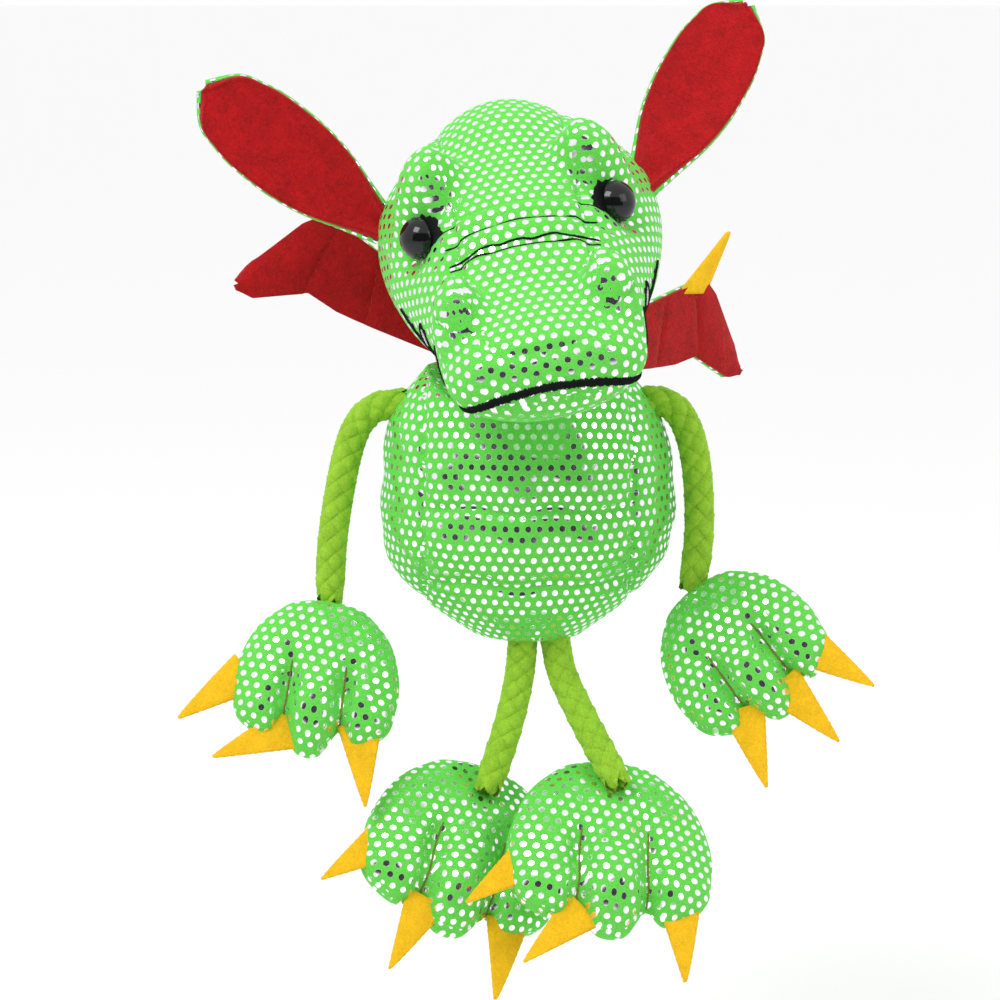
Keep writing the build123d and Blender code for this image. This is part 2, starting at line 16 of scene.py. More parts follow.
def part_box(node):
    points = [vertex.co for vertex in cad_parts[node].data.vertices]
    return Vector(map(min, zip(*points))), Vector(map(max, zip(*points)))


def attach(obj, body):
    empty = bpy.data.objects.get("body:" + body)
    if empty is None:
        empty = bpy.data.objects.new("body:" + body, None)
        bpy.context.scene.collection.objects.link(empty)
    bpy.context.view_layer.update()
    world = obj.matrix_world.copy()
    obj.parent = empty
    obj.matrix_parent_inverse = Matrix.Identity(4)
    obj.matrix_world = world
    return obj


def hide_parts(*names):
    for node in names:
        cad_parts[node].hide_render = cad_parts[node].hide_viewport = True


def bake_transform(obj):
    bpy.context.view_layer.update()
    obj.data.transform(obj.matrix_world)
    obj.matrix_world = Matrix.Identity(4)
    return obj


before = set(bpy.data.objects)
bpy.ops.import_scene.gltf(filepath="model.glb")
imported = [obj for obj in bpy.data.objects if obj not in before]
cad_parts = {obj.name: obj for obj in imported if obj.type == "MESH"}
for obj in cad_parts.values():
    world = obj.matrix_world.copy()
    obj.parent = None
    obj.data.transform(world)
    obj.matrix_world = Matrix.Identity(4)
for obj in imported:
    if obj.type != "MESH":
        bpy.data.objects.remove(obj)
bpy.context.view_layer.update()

grain = np.random.default_rng(7)    # the unevenness of hand stitching, the same on every run
mm = 0.001
sides = {"left": 1, "right": -1}

# %% [markdown]
# ## Finishes
# The toy has two kinds of surface: woven cloth with foil dots pressed on it, and things made of fibre, such
# as felt, plush, cord and thread. Each kind could be painted as an image, but a pattern made of nodes stays
# sharp at any size and keeps its true scale. Each is a node group, built once, and every material plugs the
# group's outputs into its own shader with its own colours.

# %% Node helpers
def node(tree, kind, **settings):
    """A new node of that kind, with its settings."""
    made = tree.nodes.new(kind)
    for name, value in settings.items():
        setattr(made, name, value)
    return made


def math_node(tree, operation, first, second=None):
    """A math node that works on sockets or numbers, and gives back its output."""
    made = node(tree, "ShaderNodeMath", operation=operation)
    for socket, value in zip(made.inputs, (first, second)):
        if value is None:
            continue
        if isinstance(value, (int, float)):
            socket.default_value = value
        else:
            tree.links.new(value, socket)
    return made.outputs[0]


def new_group(name, inputs, outputs):
    """A node group with the named sockets, and its input and output nodes."""
    tree = bpy.data.node_groups.new(name, "ShaderNodeTree")
    for label, kind, value in inputs:
        socket = tree.interface.new_socket(label, in_out="INPUT", socket_type=kind)
        if value is not None:
            socket.default_value = value
    for label, kind in outputs:
        tree.interface.new_socket(label, in_out="OUTPUT", socket_type=kind)
    return tree, node(tree, "NodeGroupInput"), node(tree, "NodeGroupOutput")


# %% Foil dots: the group and its lattice
# Two interleaved lattices make the staggered rows. UV is in metres, so the pitch is the real one.
dot_pitch, dot_radius = 2.42, 0.64
dot_ragged = 0.16                   # how far a dot's edge wavers, in mm
edge_outer, edge_inner = 0.12, 0.02     # where a dot fades out, beyond its radius
foil_rough_least, foil_rough_more, cloth_rough = 0.06, 0.16, 0.72
foil_height = 0.4                   # how far foil stands over thread, as a share of the bump
group, given, out = new_group(
    "foil_dots",
    [("UV", "NodeSocketVector", None), ("Cloth", "NodeSocketColor", (0.125, 0.66, 0.070, 1)),
     ("Foil", "NodeSocketColor", (0.93, 0.90, 0.95, 1))],
    [("Color", "NodeSocketColor"), ("Metallic", "NodeSocketFloat"), ("Roughness", "NodeSocketFloat"),
     ("Height", "NodeSocketFloat")],
)
cell = (dot_pitch * mm, dot_pitch * math.sqrt(3) * mm, 1.0)
waver = node(group, "ShaderNodeTexNoise", noise_dimensions="2D")
waver.inputs["Scale"].default_value = 300.0
waver.inputs["Detail"].default_value = 2.0
group.links.new(given.outputs["UV"], waver.inputs["Vector"])
distances = []
for offset in (0.0, 0.5):           # the second lattice sits in the middle of the first one's cells
    lattice = node(group, "ShaderNodeVectorMath", operation="DIVIDE")
    group.links.new(given.outputs["UV"], lattice.inputs[0])
    lattice.inputs[1].default_value = cell
    shifted = node(group, "ShaderNodeVectorMath", operation="ADD")
    group.links.new(lattice.outputs[0], shifted.inputs[0])
    shifted.inputs[1].default_value = (offset, offset, 0.0)
    wrapped = node(group, "ShaderNodeVectorMath", operation="WRAP")
    group.links.new(shifted.outputs[0], wrapped.inputs[0])
    wrapped.inputs[1].default_value = (0.5, 0.5, 0.5)
    wrapped.inputs[2].default_value = (-0.5, -0.5, -0.5)
    sized = node(group, "ShaderNodeVectorMath", operation="MULTIPLY")
    group.links.new(wrapped.outputs[0], sized.inputs[0])
    sized.inputs[1].default_value = (cell[0] / mm, cell[1] / mm, 0.0)
    reach = node(group, "ShaderNodeVectorMath", operation="LENGTH")
    group.links.new(sized.outputs[0], reach.inputs[0])
    distances.append(reach.outputs["Value"])
nearest = math_node(group, "MINIMUM", distances[0], distances[1])
ragged = math_node(group, "MULTIPLY_ADD", waver.outputs["Fac"], dot_ragged)
group.links.new(nearest, ragged.node.inputs[2])
dot = node(group, "ShaderNodeMapRange", interpolation_type="SMOOTHSTEP")
group.links.new(ragged, dot.inputs["Value"])
dot.inputs["From Min"].default_value = dot_radius + edge_outer
dot.inputs["From Max"].default_value = dot_radius + edge_inner
mask = dot.outputs["Result"]
print("dots", dot_pitch, "mm apart,", 2 * dot_radius, "mm across")

# %% Foil dots: colour, gloss and height
weave = node(group, "ShaderNodeTexNoise", noise_dimensions="2D")
weave.inputs["Scale"].default_value = 2600.0
weave.inputs["Detail"].default_value = 3.0
group.links.new(given.outputs["UV"], weave.inputs["Vector"])
patchy = node(group, "ShaderNodeTexNoise", noise_dimensions="2D")
patchy.inputs["Scale"].default_value = 90.0
group.links.new(given.outputs["UV"], patchy.inputs["Vector"])
shade = node(group, "ShaderNodeMapRange")
group.links.new(weave.outputs["Fac"], shade.inputs["Value"])
shade.inputs["To Min"].default_value = 0.72
shade.inputs["To Max"].default_value = 1.22
tinted = node(group, "ShaderNodeMix", data_type="RGBA", blend_type="MULTIPLY")
tinted.inputs["Factor"].default_value = 1.0
group.links.new(given.outputs["Cloth"], tinted.inputs["A"])
group.links.new(shade.outputs["Result"], tinted.inputs["B"])
colour = node(group, "ShaderNodeMix", data_type="RGBA")
group.links.new(mask, colour.inputs["Factor"])
group.links.new(tinted.outputs["Result"], colour.inputs["A"])
group.links.new(given.outputs["Foil"], colour.inputs["B"])
group.links.new(colour.outputs["Result"], out.inputs["Color"])
group.links.new(mask, out.inputs["Metallic"])
foil_rough = math_node(group, "MULTIPLY_ADD", patchy.outputs["Fac"], foil_rough_more)
foil_rough.node.inputs[2].default_value = foil_rough_least
rough = node(group, "ShaderNodeMix", data_type="FLOAT")
group.links.new(mask, rough.inputs["Factor"])
rough.inputs["A"].default_value = cloth_rough
group.links.new(foil_rough, rough.inputs["B"])
group.links.new(rough.outputs["Result"], out.inputs["Roughness"])
threads = math_node(group, "MULTIPLY", weave.outputs["Fac"], math_node(group, "SUBTRACT", 1.0, mask))
raised = math_node(group, "MULTIPLY_ADD", mask, foil_height)
group.links.new(threads, raised.node.inputs[2])
group.links.new(raised, out.inputs["Height"])
foil_dots = group
print("foil dots group", len(group.nodes), "nodes")

# %% Fibres
# Felt and plush: short fibres that lie every way, with a slow unevenness under them.
group, given, out = new_group(
    "short_fibres",
    [("Base", "NodeSocketColor", (0.5, 0.02, 0.02, 1)), ("Depth", "NodeSocketFloat", 0.35),
     ("Scale", "NodeSocketFloat", 1800.0)],
    [("Color", "NodeSocketColor"), ("Height", "NodeSocketFloat")],
)
place = node(group, "ShaderNodeTexCoord")
fibres = node(group, "ShaderNodeTexNoise")
fibres.inputs["Detail"].default_value = 4.0
fibres.inputs["Distortion"].default_value = 1.2
group.links.new(place.outputs["Object"], fibres.inputs["Vector"])
group.links.new(given.outputs["Scale"], fibres.inputs["Scale"])
slow = node(group, "ShaderNodeTexNoise")
slow.inputs["Scale"].default_value = 260.0
group.links.new(place.outputs["Object"], slow.inputs["Vector"])
slow_share, mixed_mean, contrast = 0.5, 0.75, 3.0
mixed = math_node(group, "MULTIPLY_ADD", slow.outputs["Fac"], slow_share)
group.links.new(fibres.outputs["Fac"], mixed.node.inputs[2])
level = math_node(group, "SUBTRACT", mixed, mixed_mean)
level = math_node(group, "MULTIPLY", level, given.outputs["Depth"])
level = math_node(group, "MULTIPLY_ADD", level, contrast)
level.node.inputs[2].default_value = 1.0
toned = node(group, "ShaderNodeVectorMath", operation="SCALE")
group.links.new(given.outputs["Base"], toned.inputs[0])
group.links.new(level, toned.inputs["Scale"])
group.links.new(toned.outputs[0], out.inputs["Color"])
group.links.new(mixed, out.inputs["Height"])
short_fibres = group
print("fibre group", len(group.nodes), "nodes")

# %% Material helpers
def material(name, group_tree, links, values, bump=None):
    """A Principled material fed by one group; links maps group outputs to the shader's inputs."""
    made = bpy.data.materials.new(name)
    made.use_nodes = True
    tree = made.node_tree
    shader = tree.nodes["Principled BSDF"]
    for socket, value in values.items():
        shader.inputs[socket].default_value = value
    if group_tree is None:
        return made
    effect = node(tree, "ShaderNodeGroup")
    effect.node_tree = group_tree
    if "UV" in effect.inputs:
        laid = node(tree, "ShaderNodeUVMap", uv_map="cloth")
        tree.links.new(laid.outputs["UV"], effect.inputs["UV"])
    for source, target in links.items():
        tree.links.new(effect.outputs[source], shader.inputs[target])
    if bump:
        relief = node(tree, "ShaderNodeBump")
        relief.inputs["Strength"].default_value = bump[0]
        relief.inputs["Distance"].default_value = bump[1] * mm
        tree.links.new(effect.outputs["Height"], relief.inputs["Height"])
        tree.links.new(relief.outputs["Normal"], shader.inputs["Normal"])
    return made


def fibre_material(name, colour, depth, scale, sheen, bump):
    """Felt, plush or cotton of one colour. bump is its strength and its height in mm."""
    made = material(name, short_fibres, {"Color": "Base Color"},
                    {"Roughness": 0.9, "Sheen Weight": sheen, "Sheen Roughness": 0.5,
                     "Specular IOR Level": 0.2}, bump)
    effect = next(n for n in made.node_tree.nodes if n.type == "GROUP")
    effect.inputs["Base"].default_value = (*colour, 1)
    effect.inputs["Depth"].default_value = depth
    effect.inputs["Scale"].default_value = scale
    return made


# %% Materials
dotted_cloth = material(
    "dotted_cloth", foil_dots,
    {"Color": "Base Color", "Metallic": "Metallic", "Roughness": "Roughness"},
    {"Sheen Weight": 0.05, "Specular IOR Level": 0.3}, (0.5, 0.12),
)
red_plush = fibre_material("red_plush", (0.42, 0.004, 0.006), 0.42, 1500.0, 0.08, (0.6, 0.5))
yellow_felt = fibre_material("yellow_felt", (0.88, 0.50, 0.012), 0.20, 1700.0, 0.0, (0.5, 0.3))
cotton = fibre_material("cotton_cord", (0.30, 0.56, 0.035), 0.30, 2400.0, 0.05, (0.5, 0.12))
lining = fibre_material("lining_cotton", (0.10, 0.45, 0.08), 0.2, 2600.0, 0.1, (0.4, 0.1))
black_thread = fibre_material("black_thread", (0.008, 0.009, 0.010), 0.5, 3200.0, 0.0, (0.7, 0.2))
white_thread = fibre_material("white_thread", (0.75, 0.76, 0.74), 0.2, 3200.0, 0.0, (0.6, 0.2))
olive_thread = fibre_material("olive_thread", (0.22, 0.24, 0.05), 0.3, 3200.0, 0.0, (0.6, 0.2))
black_plastic = material("black_plastic", None, {}, {"Base Color": (0.006, 0.006, 0.007, 1),
                                                     "Roughness": 0.10, "Specular IOR Level": 0.4})
white_plastic = material("washer_plastic", None, {},
                         {"Base Color": (0.8, 0.8, 0.78, 1), "Roughness": 0.4})
print("materials", len(bpy.data.materials))

# %% [markdown]
# ## Shape tools
# The toy is sewn from flat panels and stuffed. It could be blown up by a cloth simulation, but a stuffed toy
# this small is firm, and its bumps are where the maker put them. So every skin starts as a grid from an
# operator, goes to its place by a rule for each row and column, and is then pushed about like clay.

# %% Smooth curves
def curve_through(xs, ys, x):
    """The smooth curve through the given rows, read at x."""
    xs, ys, x = np.asarray(xs, float), np.asarray(ys, float), np.asarray(x, float)
    slope = np.gradient(ys, xs)
    i = np.clip(np.searchsorted(xs, x) - 1, 0, len(xs) - 2)
    h = xs[i + 1] - xs[i]
    t = np.clip((x - xs[i]) / h, 0, 1)
    return ((1 + 2 * t) * (1 - t) ** 2 * ys[i] + t * (1 - t) ** 2 * h * slope[i]
            + t * t * (3 - 2 * t) * ys[i + 1] + t * t * (t - 1) * h * slope[i + 1])


def step(low, high, x):
    """0 below low, 1 above high, smooth between."""
    t = np.clip((x - low) / (high - low), 0, 1)
    return t * t * (3 - 2 * t)


# %% Skins and cuts
def grid_form(columns, rows, place, closed=False):
    """A grid whose corners go where place(u, v) puts them, in mm. closed joins its two long edges."""
    work = bmesh.new()
    bmesh.ops.create_grid(work, x_segments=columns, y_segments=rows, size=0.5)
    corners = np.array([v.co for v in work.verts])
    spots = place(corners[:, 0] + 0.5, corners[:, 1] + 0.5)
    for vertex, spot in zip(work.verts, spots):
        vertex.co = spot
    if closed:
        bmesh.ops.remove_doubles(work, verts=work.verts, dist=1e-4)
        bmesh.ops.recalc_face_normals(work, faces=work.faces)
    return work


def cut(work, point, normal, keep=lambda centre: True):
    """Cuts a line of edges across the faces that keep allows, where a plane passes."""
    faces = [f for f in work.faces if keep(f.calc_center_median())]
    edges = list({e for f in faces for e in f.edges})
    verts = list({v for f in faces for v in f.verts})
    bmesh.ops.bisect_plane(work, geom=faces + edges + verts, plane_co=point, plane_no=normal, dist=1e-4)


def moved(work, change):
    """Moves every vertex by a function of all their places."""
    places = np.array([v.co for v in work.verts])
    for vertex, spot in zip(work.verts, change(places)):
        vertex.co = spot


# %% Objects
def to_object(work, name, look):
    """Turns mm into metres and makes the object."""
    bmesh.ops.scale(work, vec=(mm, mm, mm), verts=work.verts)
    mesh = bpy.data.meshes.new(name)
    work.to_mesh(mesh)
    work.free()
    for face in mesh.polygons:
        face.use_smooth = True
    mesh.materials.append(look)
    made = bpy.data.objects.new(name, mesh)
    bpy.context.collection.objects.link(made)
    return made


def own(obj, body, slot_name, *nodes):
    """The piece rides on its body and stands for its CAD nodes. slot_name, the record's finish, is not used.
    """
    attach(obj, body)
    if nodes:
        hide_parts(*nodes)
    return obj


# %% [markdown]
# ## Cloth laid flat
# Foil dots are printed before the cloth is cut, so they stay nearly round and evenly spaced on every panel.
# Blender's own unwrap could lay the panels out, but it takes minutes here. This does the same by hand: a
# first guess flattens the panel, and then every edge is eased back towards its true length, many times over.
# The flat panel becomes the UV map called cloth, in metres.

# %% Laying a panel out
ease_rounds, ease_share = 420, 0.9
print_slant = (0.3, 0.2, 1)         # sets which way the rows of dots run on the cloth


def held_lengths(mesh):
    """Every pair of corners whose distance the cloth keeps: the edges, and both diagonals of a square."""
    pairs = set()
    for face in mesh.polygons:
        corners = list(face.vertices)
        pairs |= {tuple(sorted(pair)) for pair in zip(corners, corners[1:] + corners[:1])}
        if len(corners) == 4:
            pairs |= {tuple(sorted(corners[0::2])), tuple(sorted(corners[1::2]))}
    return np.array(sorted(pairs))


def lay_out(obj, unroll=None):
    """Lays a panel flat as its UV map: a first guess, eased until its lengths are nearly true."""
    mesh = obj.data
    spots = np.zeros(len(mesh.vertices) * 3)
    mesh.vertices.foreach_get("co", spots)
    spots = spots.reshape(-1, 3)
    if unroll is None:
        out_way = sum((Vector(f.normal) * f.area for f in mesh.polygons), Vector()).normalized()
        across = out_way.cross(Vector(print_slant)).normalized()
        flat = spots @ np.array([across, out_way.cross(across)]).T
    else:
        flat = unroll(spots)
    pairs = held_lengths(mesh)
    first, second = pairs[:, 0], pairs[:, 1]
    true_length = np.linalg.norm(spots[first] - spots[second], axis=1)
    shared = np.maximum(np.bincount(pairs.ravel(), minlength=len(spots)), 1)[:, None]
    for _ in range(ease_rounds):
        gap = flat[second] - flat[first]
        length = np.maximum(np.linalg.norm(gap, axis=1), 1e-9)
        push = gap * ((length - true_length) / length)[:, None]
        change = np.stack([np.bincount(first, push[:, k], len(spots))
                           - np.bincount(second, push[:, k], len(spots)) for k in (0, 1)], axis=1)
        flat = flat + ease_share * change / shared
    corners = np.zeros(len(mesh.loops), int)
    mesh.loops.foreach_get("vertex_index", corners)
    layer = mesh.uv_layers.new(name="cloth")
    layer.data.foreach_set("uv", flat[corners].reshape(-1))
    return obj


def panels(work, label, named, body, matrix=None):
    """Splits one skin into its cloth panels, each riding on the body. label(centres) gives
    each face its panel's number. named holds each panel's name, the CAD nodes that it stands for and how
    it unrolls."""
    numbers = label(np.array([f.calc_center_median() for f in work.faces]))
    made = []
    for number, (name, nodes, unroll) in enumerate(named):
        part = work.copy()
        drop = [f for f, n in zip(part.faces, numbers) if n != number]
        bmesh.ops.delete(part, geom=drop, context="FACES")
        if matrix is not None:
            bmesh.ops.transform(part, matrix=matrix, verts=part.verts)
        piece = own(lay_out(to_object(part, name, dotted_cloth), unroll), body, "dotted_cloth", *nodes)
        made.append(piece)
    work.free()
    print(body, "panels", {piece.name: len(piece.data.polygons) for piece in made})
    return made


# %% [markdown]
# ## Head
# The real head is five panels sewn together: a long crown gusset, two cheeks, a nose and a chin, with padding
# pushed in for brows and nostrils. Each panel could be modelled alone, but then the seams would have to be
# matched. One closed skin that is cut along its seams keeps them matched for nothing. It is modelled along
# its own axes, snout towards -y and crown towards +z, then nodded and tilted.

# %% Head skin
head_pivot = (-1.5, -14.4, 75.3)
nod, tilt, look_aside = (math.radians(a) for a in (9.94, -10.18, 2.93))
head_turn = (Matrix.Rotation(nod, 4, "X") @ Matrix.Rotation(tilt, 4, "Y")
             @ Matrix.Rotation(look_aside, 4, "Z"))
head_at = Matrix.Translation(head_pivot) @ head_turn
# y along the head, half its width, its top and its underside
head_rows = np.array([
    (-50.5, 12.0, -2.7, -14.0), (-46.3, 18.0, 0.5, -17.6), (-38.3, 20.4, 4.9, -19.4),
    (-27.4, 20.7, 11.9, -20.0), (-15.2, 24.0, 18.1, -21.1), (-0.1, 28.5, 25.9, -22.1),
    (11.7, 30.0, 31.9, -22.1), (21.7, 27.0, 31.9, -18.1), (29.7, 18.9, 25.9, -9.2), (33.5, 9.9, 17.8, 0.0),
])
snout_round, nape_round, end_room = 3.4, 3.0, 0.6
head_columns, head_steps = 150, 110


def head_profile(v):
    """For each row of the grid: its y and how far its ring has closed."""
    front = head_rows[0, 0] - end_room
    back = head_rows[-1, 0] + end_room
    y = front + (back - front) * v
    near = np.clip((y - front) / snout_round, 0, 1)
    far = np.clip((back - y) / nape_round, 0, 1)
    closing = np.sqrt(1 - (1 - near) ** 2) * np.sqrt(1 - (1 - far) ** 2)
    return y, closing


def head_place(u, v):
    """The plain head, before its bumps."""
    v = 0.5 - 0.5 * np.cos(np.pi * v) * (0.55 + 0.45 * np.abs(np.cos(np.pi * v)))
    y, closing = head_profile(v)
    inside = np.clip(y, head_rows[0, 0], head_rows[-1, 0])
    wide = curve_through(head_rows[:, 0], head_rows[:, 1], inside) * closing
    top = curve_through(head_rows[:, 0], head_rows[:, 2], inside)
    low = curve_through(head_rows[:, 0], head_rows[:, 3], inside)
    angle = u * 2 * np.pi + np.pi / 2
    x = wide * np.cos(angle)
    z = (top + low) / 2 + (top - low) / 2 * closing * np.sin(angle)
    return np.stack([x, y, z], axis=1)


# %% Head bumps
brow_at, brow_size = (17.6, -1.5), (7.2, 5.6)
nostril_at, nostril_size = (15.6, -36.0), (5.2, 5.0)
fold_lines = (-24.6, -20.0, -14.9)      # y of the three stitched lines over the bridge
fold_bow = 0.007                        # how much those lines bow back at their ends
brow_high, nostril_high = 8.8, 7.8
puff_high, stitch_deep = 1.9, 0.7


def hill(p, centre, size, power=2.2):
    """1 over the middle of a bump and 0 round it."""
    far = ((p[:, 0] - centre[0]) / size[0]) ** 2 + ((p[:, 1] - centre[1]) / size[1]) ** 2
    return np.exp(-far ** power)


def head_clay(p):
    """The narrow crown, the brows, nostrils and eye hollows, the puffed bridge and the dip before it."""
    p = p.copy()
    upper = step(-6, 4, p[:, 2])
    p[:, 0] *= 1 - 0.24 * step(13, 32, p[:, 2]) * step(-6, 6, p[:, 1])
    rise = np.zeros(len(p))
    for sign in (-1, 1):
        brow = hill(p, (sign * brow_at[0], brow_at[1]), brow_size) * step(4, 10, p[:, 2])
        nose = hill(p, (sign * nostril_at[0], nostril_at[1]), nostril_size) * step(-9, -3, p[:, 2])
        p[:, 0] += sign * (1.4 * brow + 1.2 * nose)
        p[:, 1] -= 3.2 * brow + 0.6 * nose
        rise += brow_high * brow + nostril_high * nose
        eye = hill(p, (sign * 23.0, -9.0), (5.0, 5.0), 1.0) * step(5, 9, p[:, 2])
        p[:, 0] -= sign * 2.6 * eye
    middle = np.exp(-(p[:, 0] / 17.0) ** 6) * upper
    along = p[:, 1] - fold_bow * p[:, 0] ** 2
    puff = np.zeros(len(p))
    for before, after in zip(fold_lines, fold_lines[1:]):
        share = np.clip((along - before) / (after - before), 0, 1)
        puff += puff_high * np.sin(np.pi * share) ** 0.7
    for line in fold_lines:
        puff -= stitch_deep * np.exp(-((along - line) / 0.7) ** 2)
    p[:, 2] += rise + middle * puff
    saddle = np.exp(-((p[:, 1] + 31) / 6.0) ** 2) * np.exp(-(p[:, 0] / 11.0) ** 4) * upper
    p[:, 2] -= 1.5 * saddle
    return p


head = grid_form(head_columns, head_steps, head_place, closed=True)
moved(head, head_clay)
print("head skin", len(head.faces), "faces")

# %% Head seams: where they run
# Three lines of edges follow each seam, so that the groove has corners to bend at.
gusset = 13.5           # half the width of the crown gusset
chin_z = -12.15         # the height of the chin's seam
nose_back = -37         # the seam across the nose lies in front of this
nose_point, nose_normal = Vector((0, -49.6, -3.3)), Vector((0, -5.8, 10.1)).normalized()
groove_reach, groove_deep = 0.8, 0.75
for sign in (-1, 1):
    for shift in (-groove_reach, 0, groove_reach):
        cut(head, (sign * gusset + shift, 0, 0), (1, 0, 0), lambda c: c.z > chin_z)
for shift in (-groove_reach, 0, groove_reach):
    cut(head, (0, 0, chin_z + shift), (0, 0, 1))
    cut(head, nose_point + nose_normal * shift, nose_normal, lambda c: c.y < nose_back)


def off_nose(p):
    """How far each place stands above the seam across the nose."""
    return (p - np.array(nose_point)) @ np.array(nose_normal)


def head_label(p):
    """0 crown gusset, 1 left cheek, 2 right cheek, 3 nose, 4 chin."""
    on_nose = (off_nose(p) < 0) & (p[:, 1] < nose_back)
    side_number = np.where(p[:, 0] > 0, 1, 2)
    number = np.where(np.abs(p[:, 0]) < gusset, 0, side_number)
    number = np.where(on_nose, 3, number)
    return np.where(p[:, 2] < chin_z, 4, number)


# %% Head seams: the cloth pulled in
def head_grooves(p):
    """Pulls the cloth in along its seams, with small puckers beside the stitches."""
    above_chin = step(chin_z - 0.5, chin_z + 0.5, p[:, 2])
    above_nose = np.where(p[:, 1] < nose_back, step(-0.5, 0.5, off_nose(p)), 1.0)
    pull = np.exp(-((np.abs(p[:, 0]) - gusset) / groove_reach) ** 2) * above_chin * above_nose
    nose_line = np.exp(-(off_nose(p) / groove_reach) ** 2) * step(-36, -38, p[:, 1]) * above_chin
    chin_line = 0.5 * np.exp(-((p[:, 2] - chin_z) / groove_reach) ** 2) * step(-44, -38, p[:, 1])
    pucker = 1 + 0.35 * np.sin(p[:, 1] * 2.3 + 3 * np.sin(p[:, 2])) * np.cos(p[:, 0] * 2.1)
    depth = groove_deep * np.maximum(np.maximum(pull, nose_line), chin_line) * pucker
    centre = np.stack([0 * p[:, 0], np.clip(p[:, 1], -40, 22), 0 * p[:, 2] + 2], axis=1)
    inward = centre - p
    inward /= np.maximum(np.linalg.norm(inward, axis=1, keepdims=True), 1e-6)
    return p + inward * depth[:, None]


moved(head, head_grooves)
head_tree = BVHTree.FromBMesh(head)

# %% Head panels
# The crown's guess is unrolled along the head's profile, because it wraps right round the head.
def to_head(p):
    """Places in the head's own axes."""
    inverse = np.array(head_at.inverted())
    return p @ inverse[:3, :3].T + inverse[:3, 3]


def along_profile(spots, line, centre):
    """How far along a profile line each place lies, by its direction from a centre."""
    def direction(pairs):
        turned = np.arctan2(pairs[:, 1] - centre[1], centre[0] - pairs[:, 0])
        return np.where(turned < -1.6, turned + 2 * np.pi, turned)
    run = np.concatenate([[0], np.cumsum(np.linalg.norm(np.diff(line, axis=0), axis=1))])
    order = np.argsort(direction(line))
    return np.interp(direction(spots), direction(line)[order], run[order])


profile_rows = np.linspace(0, 1, 160)
over_top = head_clay(head_place(0 * profile_rows, profile_rows))[:, 1:3]
under_nape = head_place(0 * profile_rows + 0.5, profile_rows)[:95:-1, 1:3]
head_middle = np.concatenate([over_top, under_nape])
head_middle_centre = (2.0, -4.0)


def unroll_gusset(spots):
    """The crown panel unrolled from the nose over the crown to the nape."""
    local = to_head(spots / mm)
    height = along_profile(local[:, 1:3], head_middle, head_middle_centre)
    return np.stack([local[:, 0], height], axis=1) * mm


head_panels = panels(head, head_label, (
    ("crown_gusset_cloth", ("crown_gusset", "head_stuffing"), unroll_gusset),
    ("cheek_left_cloth", ("cheek_panel_left",), None),
    ("cheek_right_cloth", ("cheek_panel_right",), None),
    ("nose_cloth", ("nose_panel",), None),
    ("chin_cloth", ("chin_panel",), None),
), "head", head_at)
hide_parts("brows", "nostrils")

# %% [markdown]
# ## Embroidery
# The mouth, the jaw, the fangs, the lines over the bridge and the patches behind the eyes are satin stitch:
# threads laid side by side across a line. Single threads would cost far too many faces. A narrow strip that
# hugs the cloth, arched across and ribbed along, with edges as uneven as the stitches' ends, reads the same.

# %% Places on a skin
def on_skin(tree, point):
    """The nearest place on a skin, and the way out of it."""
    spot, normal, _, _ = tree.find_nearest(Vector(point))
    return np.array(spot), np.array(normal)


def spaced(points, pitch):
    """Points at an even pitch along the smooth line through the given ones."""
    points = np.array(points, float)
    t = np.concatenate([[0], np.cumsum(np.linalg.norm(np.diff(points, axis=0), axis=1))])
    fine = np.linspace(0, t[-1], max(int(t[-1] / 0.2), 8))
    line = np.stack([curve_through(t, points[:, k], fine) for k in range(3)], axis=1)
    run = np.concatenate([[0], np.cumsum(np.linalg.norm(np.diff(line, axis=0), axis=1))])
    even = np.linspace(0, run[-1], max(int(run[-1] / pitch), 4) + 1)
    return np.stack([np.interp(even, run, line[:, k]) for k in range(3)], axis=1)


# %% Satin strips
stitch_pitch, strip_columns = 0.16, 8
sunk = 0.05             # how far a strip's edge is pressed into the cloth


def satin(tree, points, width, height, taper=2.0, rag=0.25):
    """A strip of stitches along points on a skin. Its edges are ragged where stitches end."""
    line = spaced(points, stitch_pitch)
    count = len(line)
    length = stitch_pitch * (count - 1)
    rims = {}
    for index in range(count):
        spot, normal = on_skin(tree, line[index])
        ahead = line[min(index + 1, count - 1)] - line[max(index - 1, 0)]
        side = np.cross(normal, ahead)
        side /= max(np.linalg.norm(side), 1e-9)
        s = index * stitch_pitch
        narrow = min(1.0, s / taper, (length - s) / taper) if taper else 1.0
        half = width / 2 * (0.25 + 0.75 * math.sqrt(max(narrow, 0)))
        half_left = half * (1 + rag * grain.uniform(-1, 1))
        half_right = half * (1 + rag * grain.uniform(-1, 1))
        rib = 0.75 + 0.25 * math.cos(math.pi * index)
        for k in range(strip_columns + 1):
            t = 2 * k / strip_columns - 1
            reach = half_left * t if t < 0 else half_right * t
            foot, out_way = on_skin(tree, spot + side * reach)
            rims[index, k] = foot + out_way * (height * rib * max(1 - t * t, 0) ** 0.5 - sunk)

    def place(u, v):
        i = np.rint(v * (count - 1)).astype(int)
        k = np.rint(u * strip_columns).astype(int)
        return np.array([rims[a, b] for a, b in zip(i, k)])
    work = grid_form(strip_columns, count - 1, place)
    bmesh.ops.recalc_face_normals(work, faces=work.faces)
    return work


def joined(parts, name, look, matrix=None):
    """Several small forms as one object."""
    whole = bmesh.new()
    for part in parts:
        mesh = bpy.data.meshes.new("part")
        part.to_mesh(mesh)
        part.free()
        whole.from_mesh(mesh)
        bpy.data.meshes.remove(mesh)
    if matrix is not None:
        bmesh.ops.transform(whole, matrix=matrix, verts=whole.verts)
    return to_object(whole, name, look)


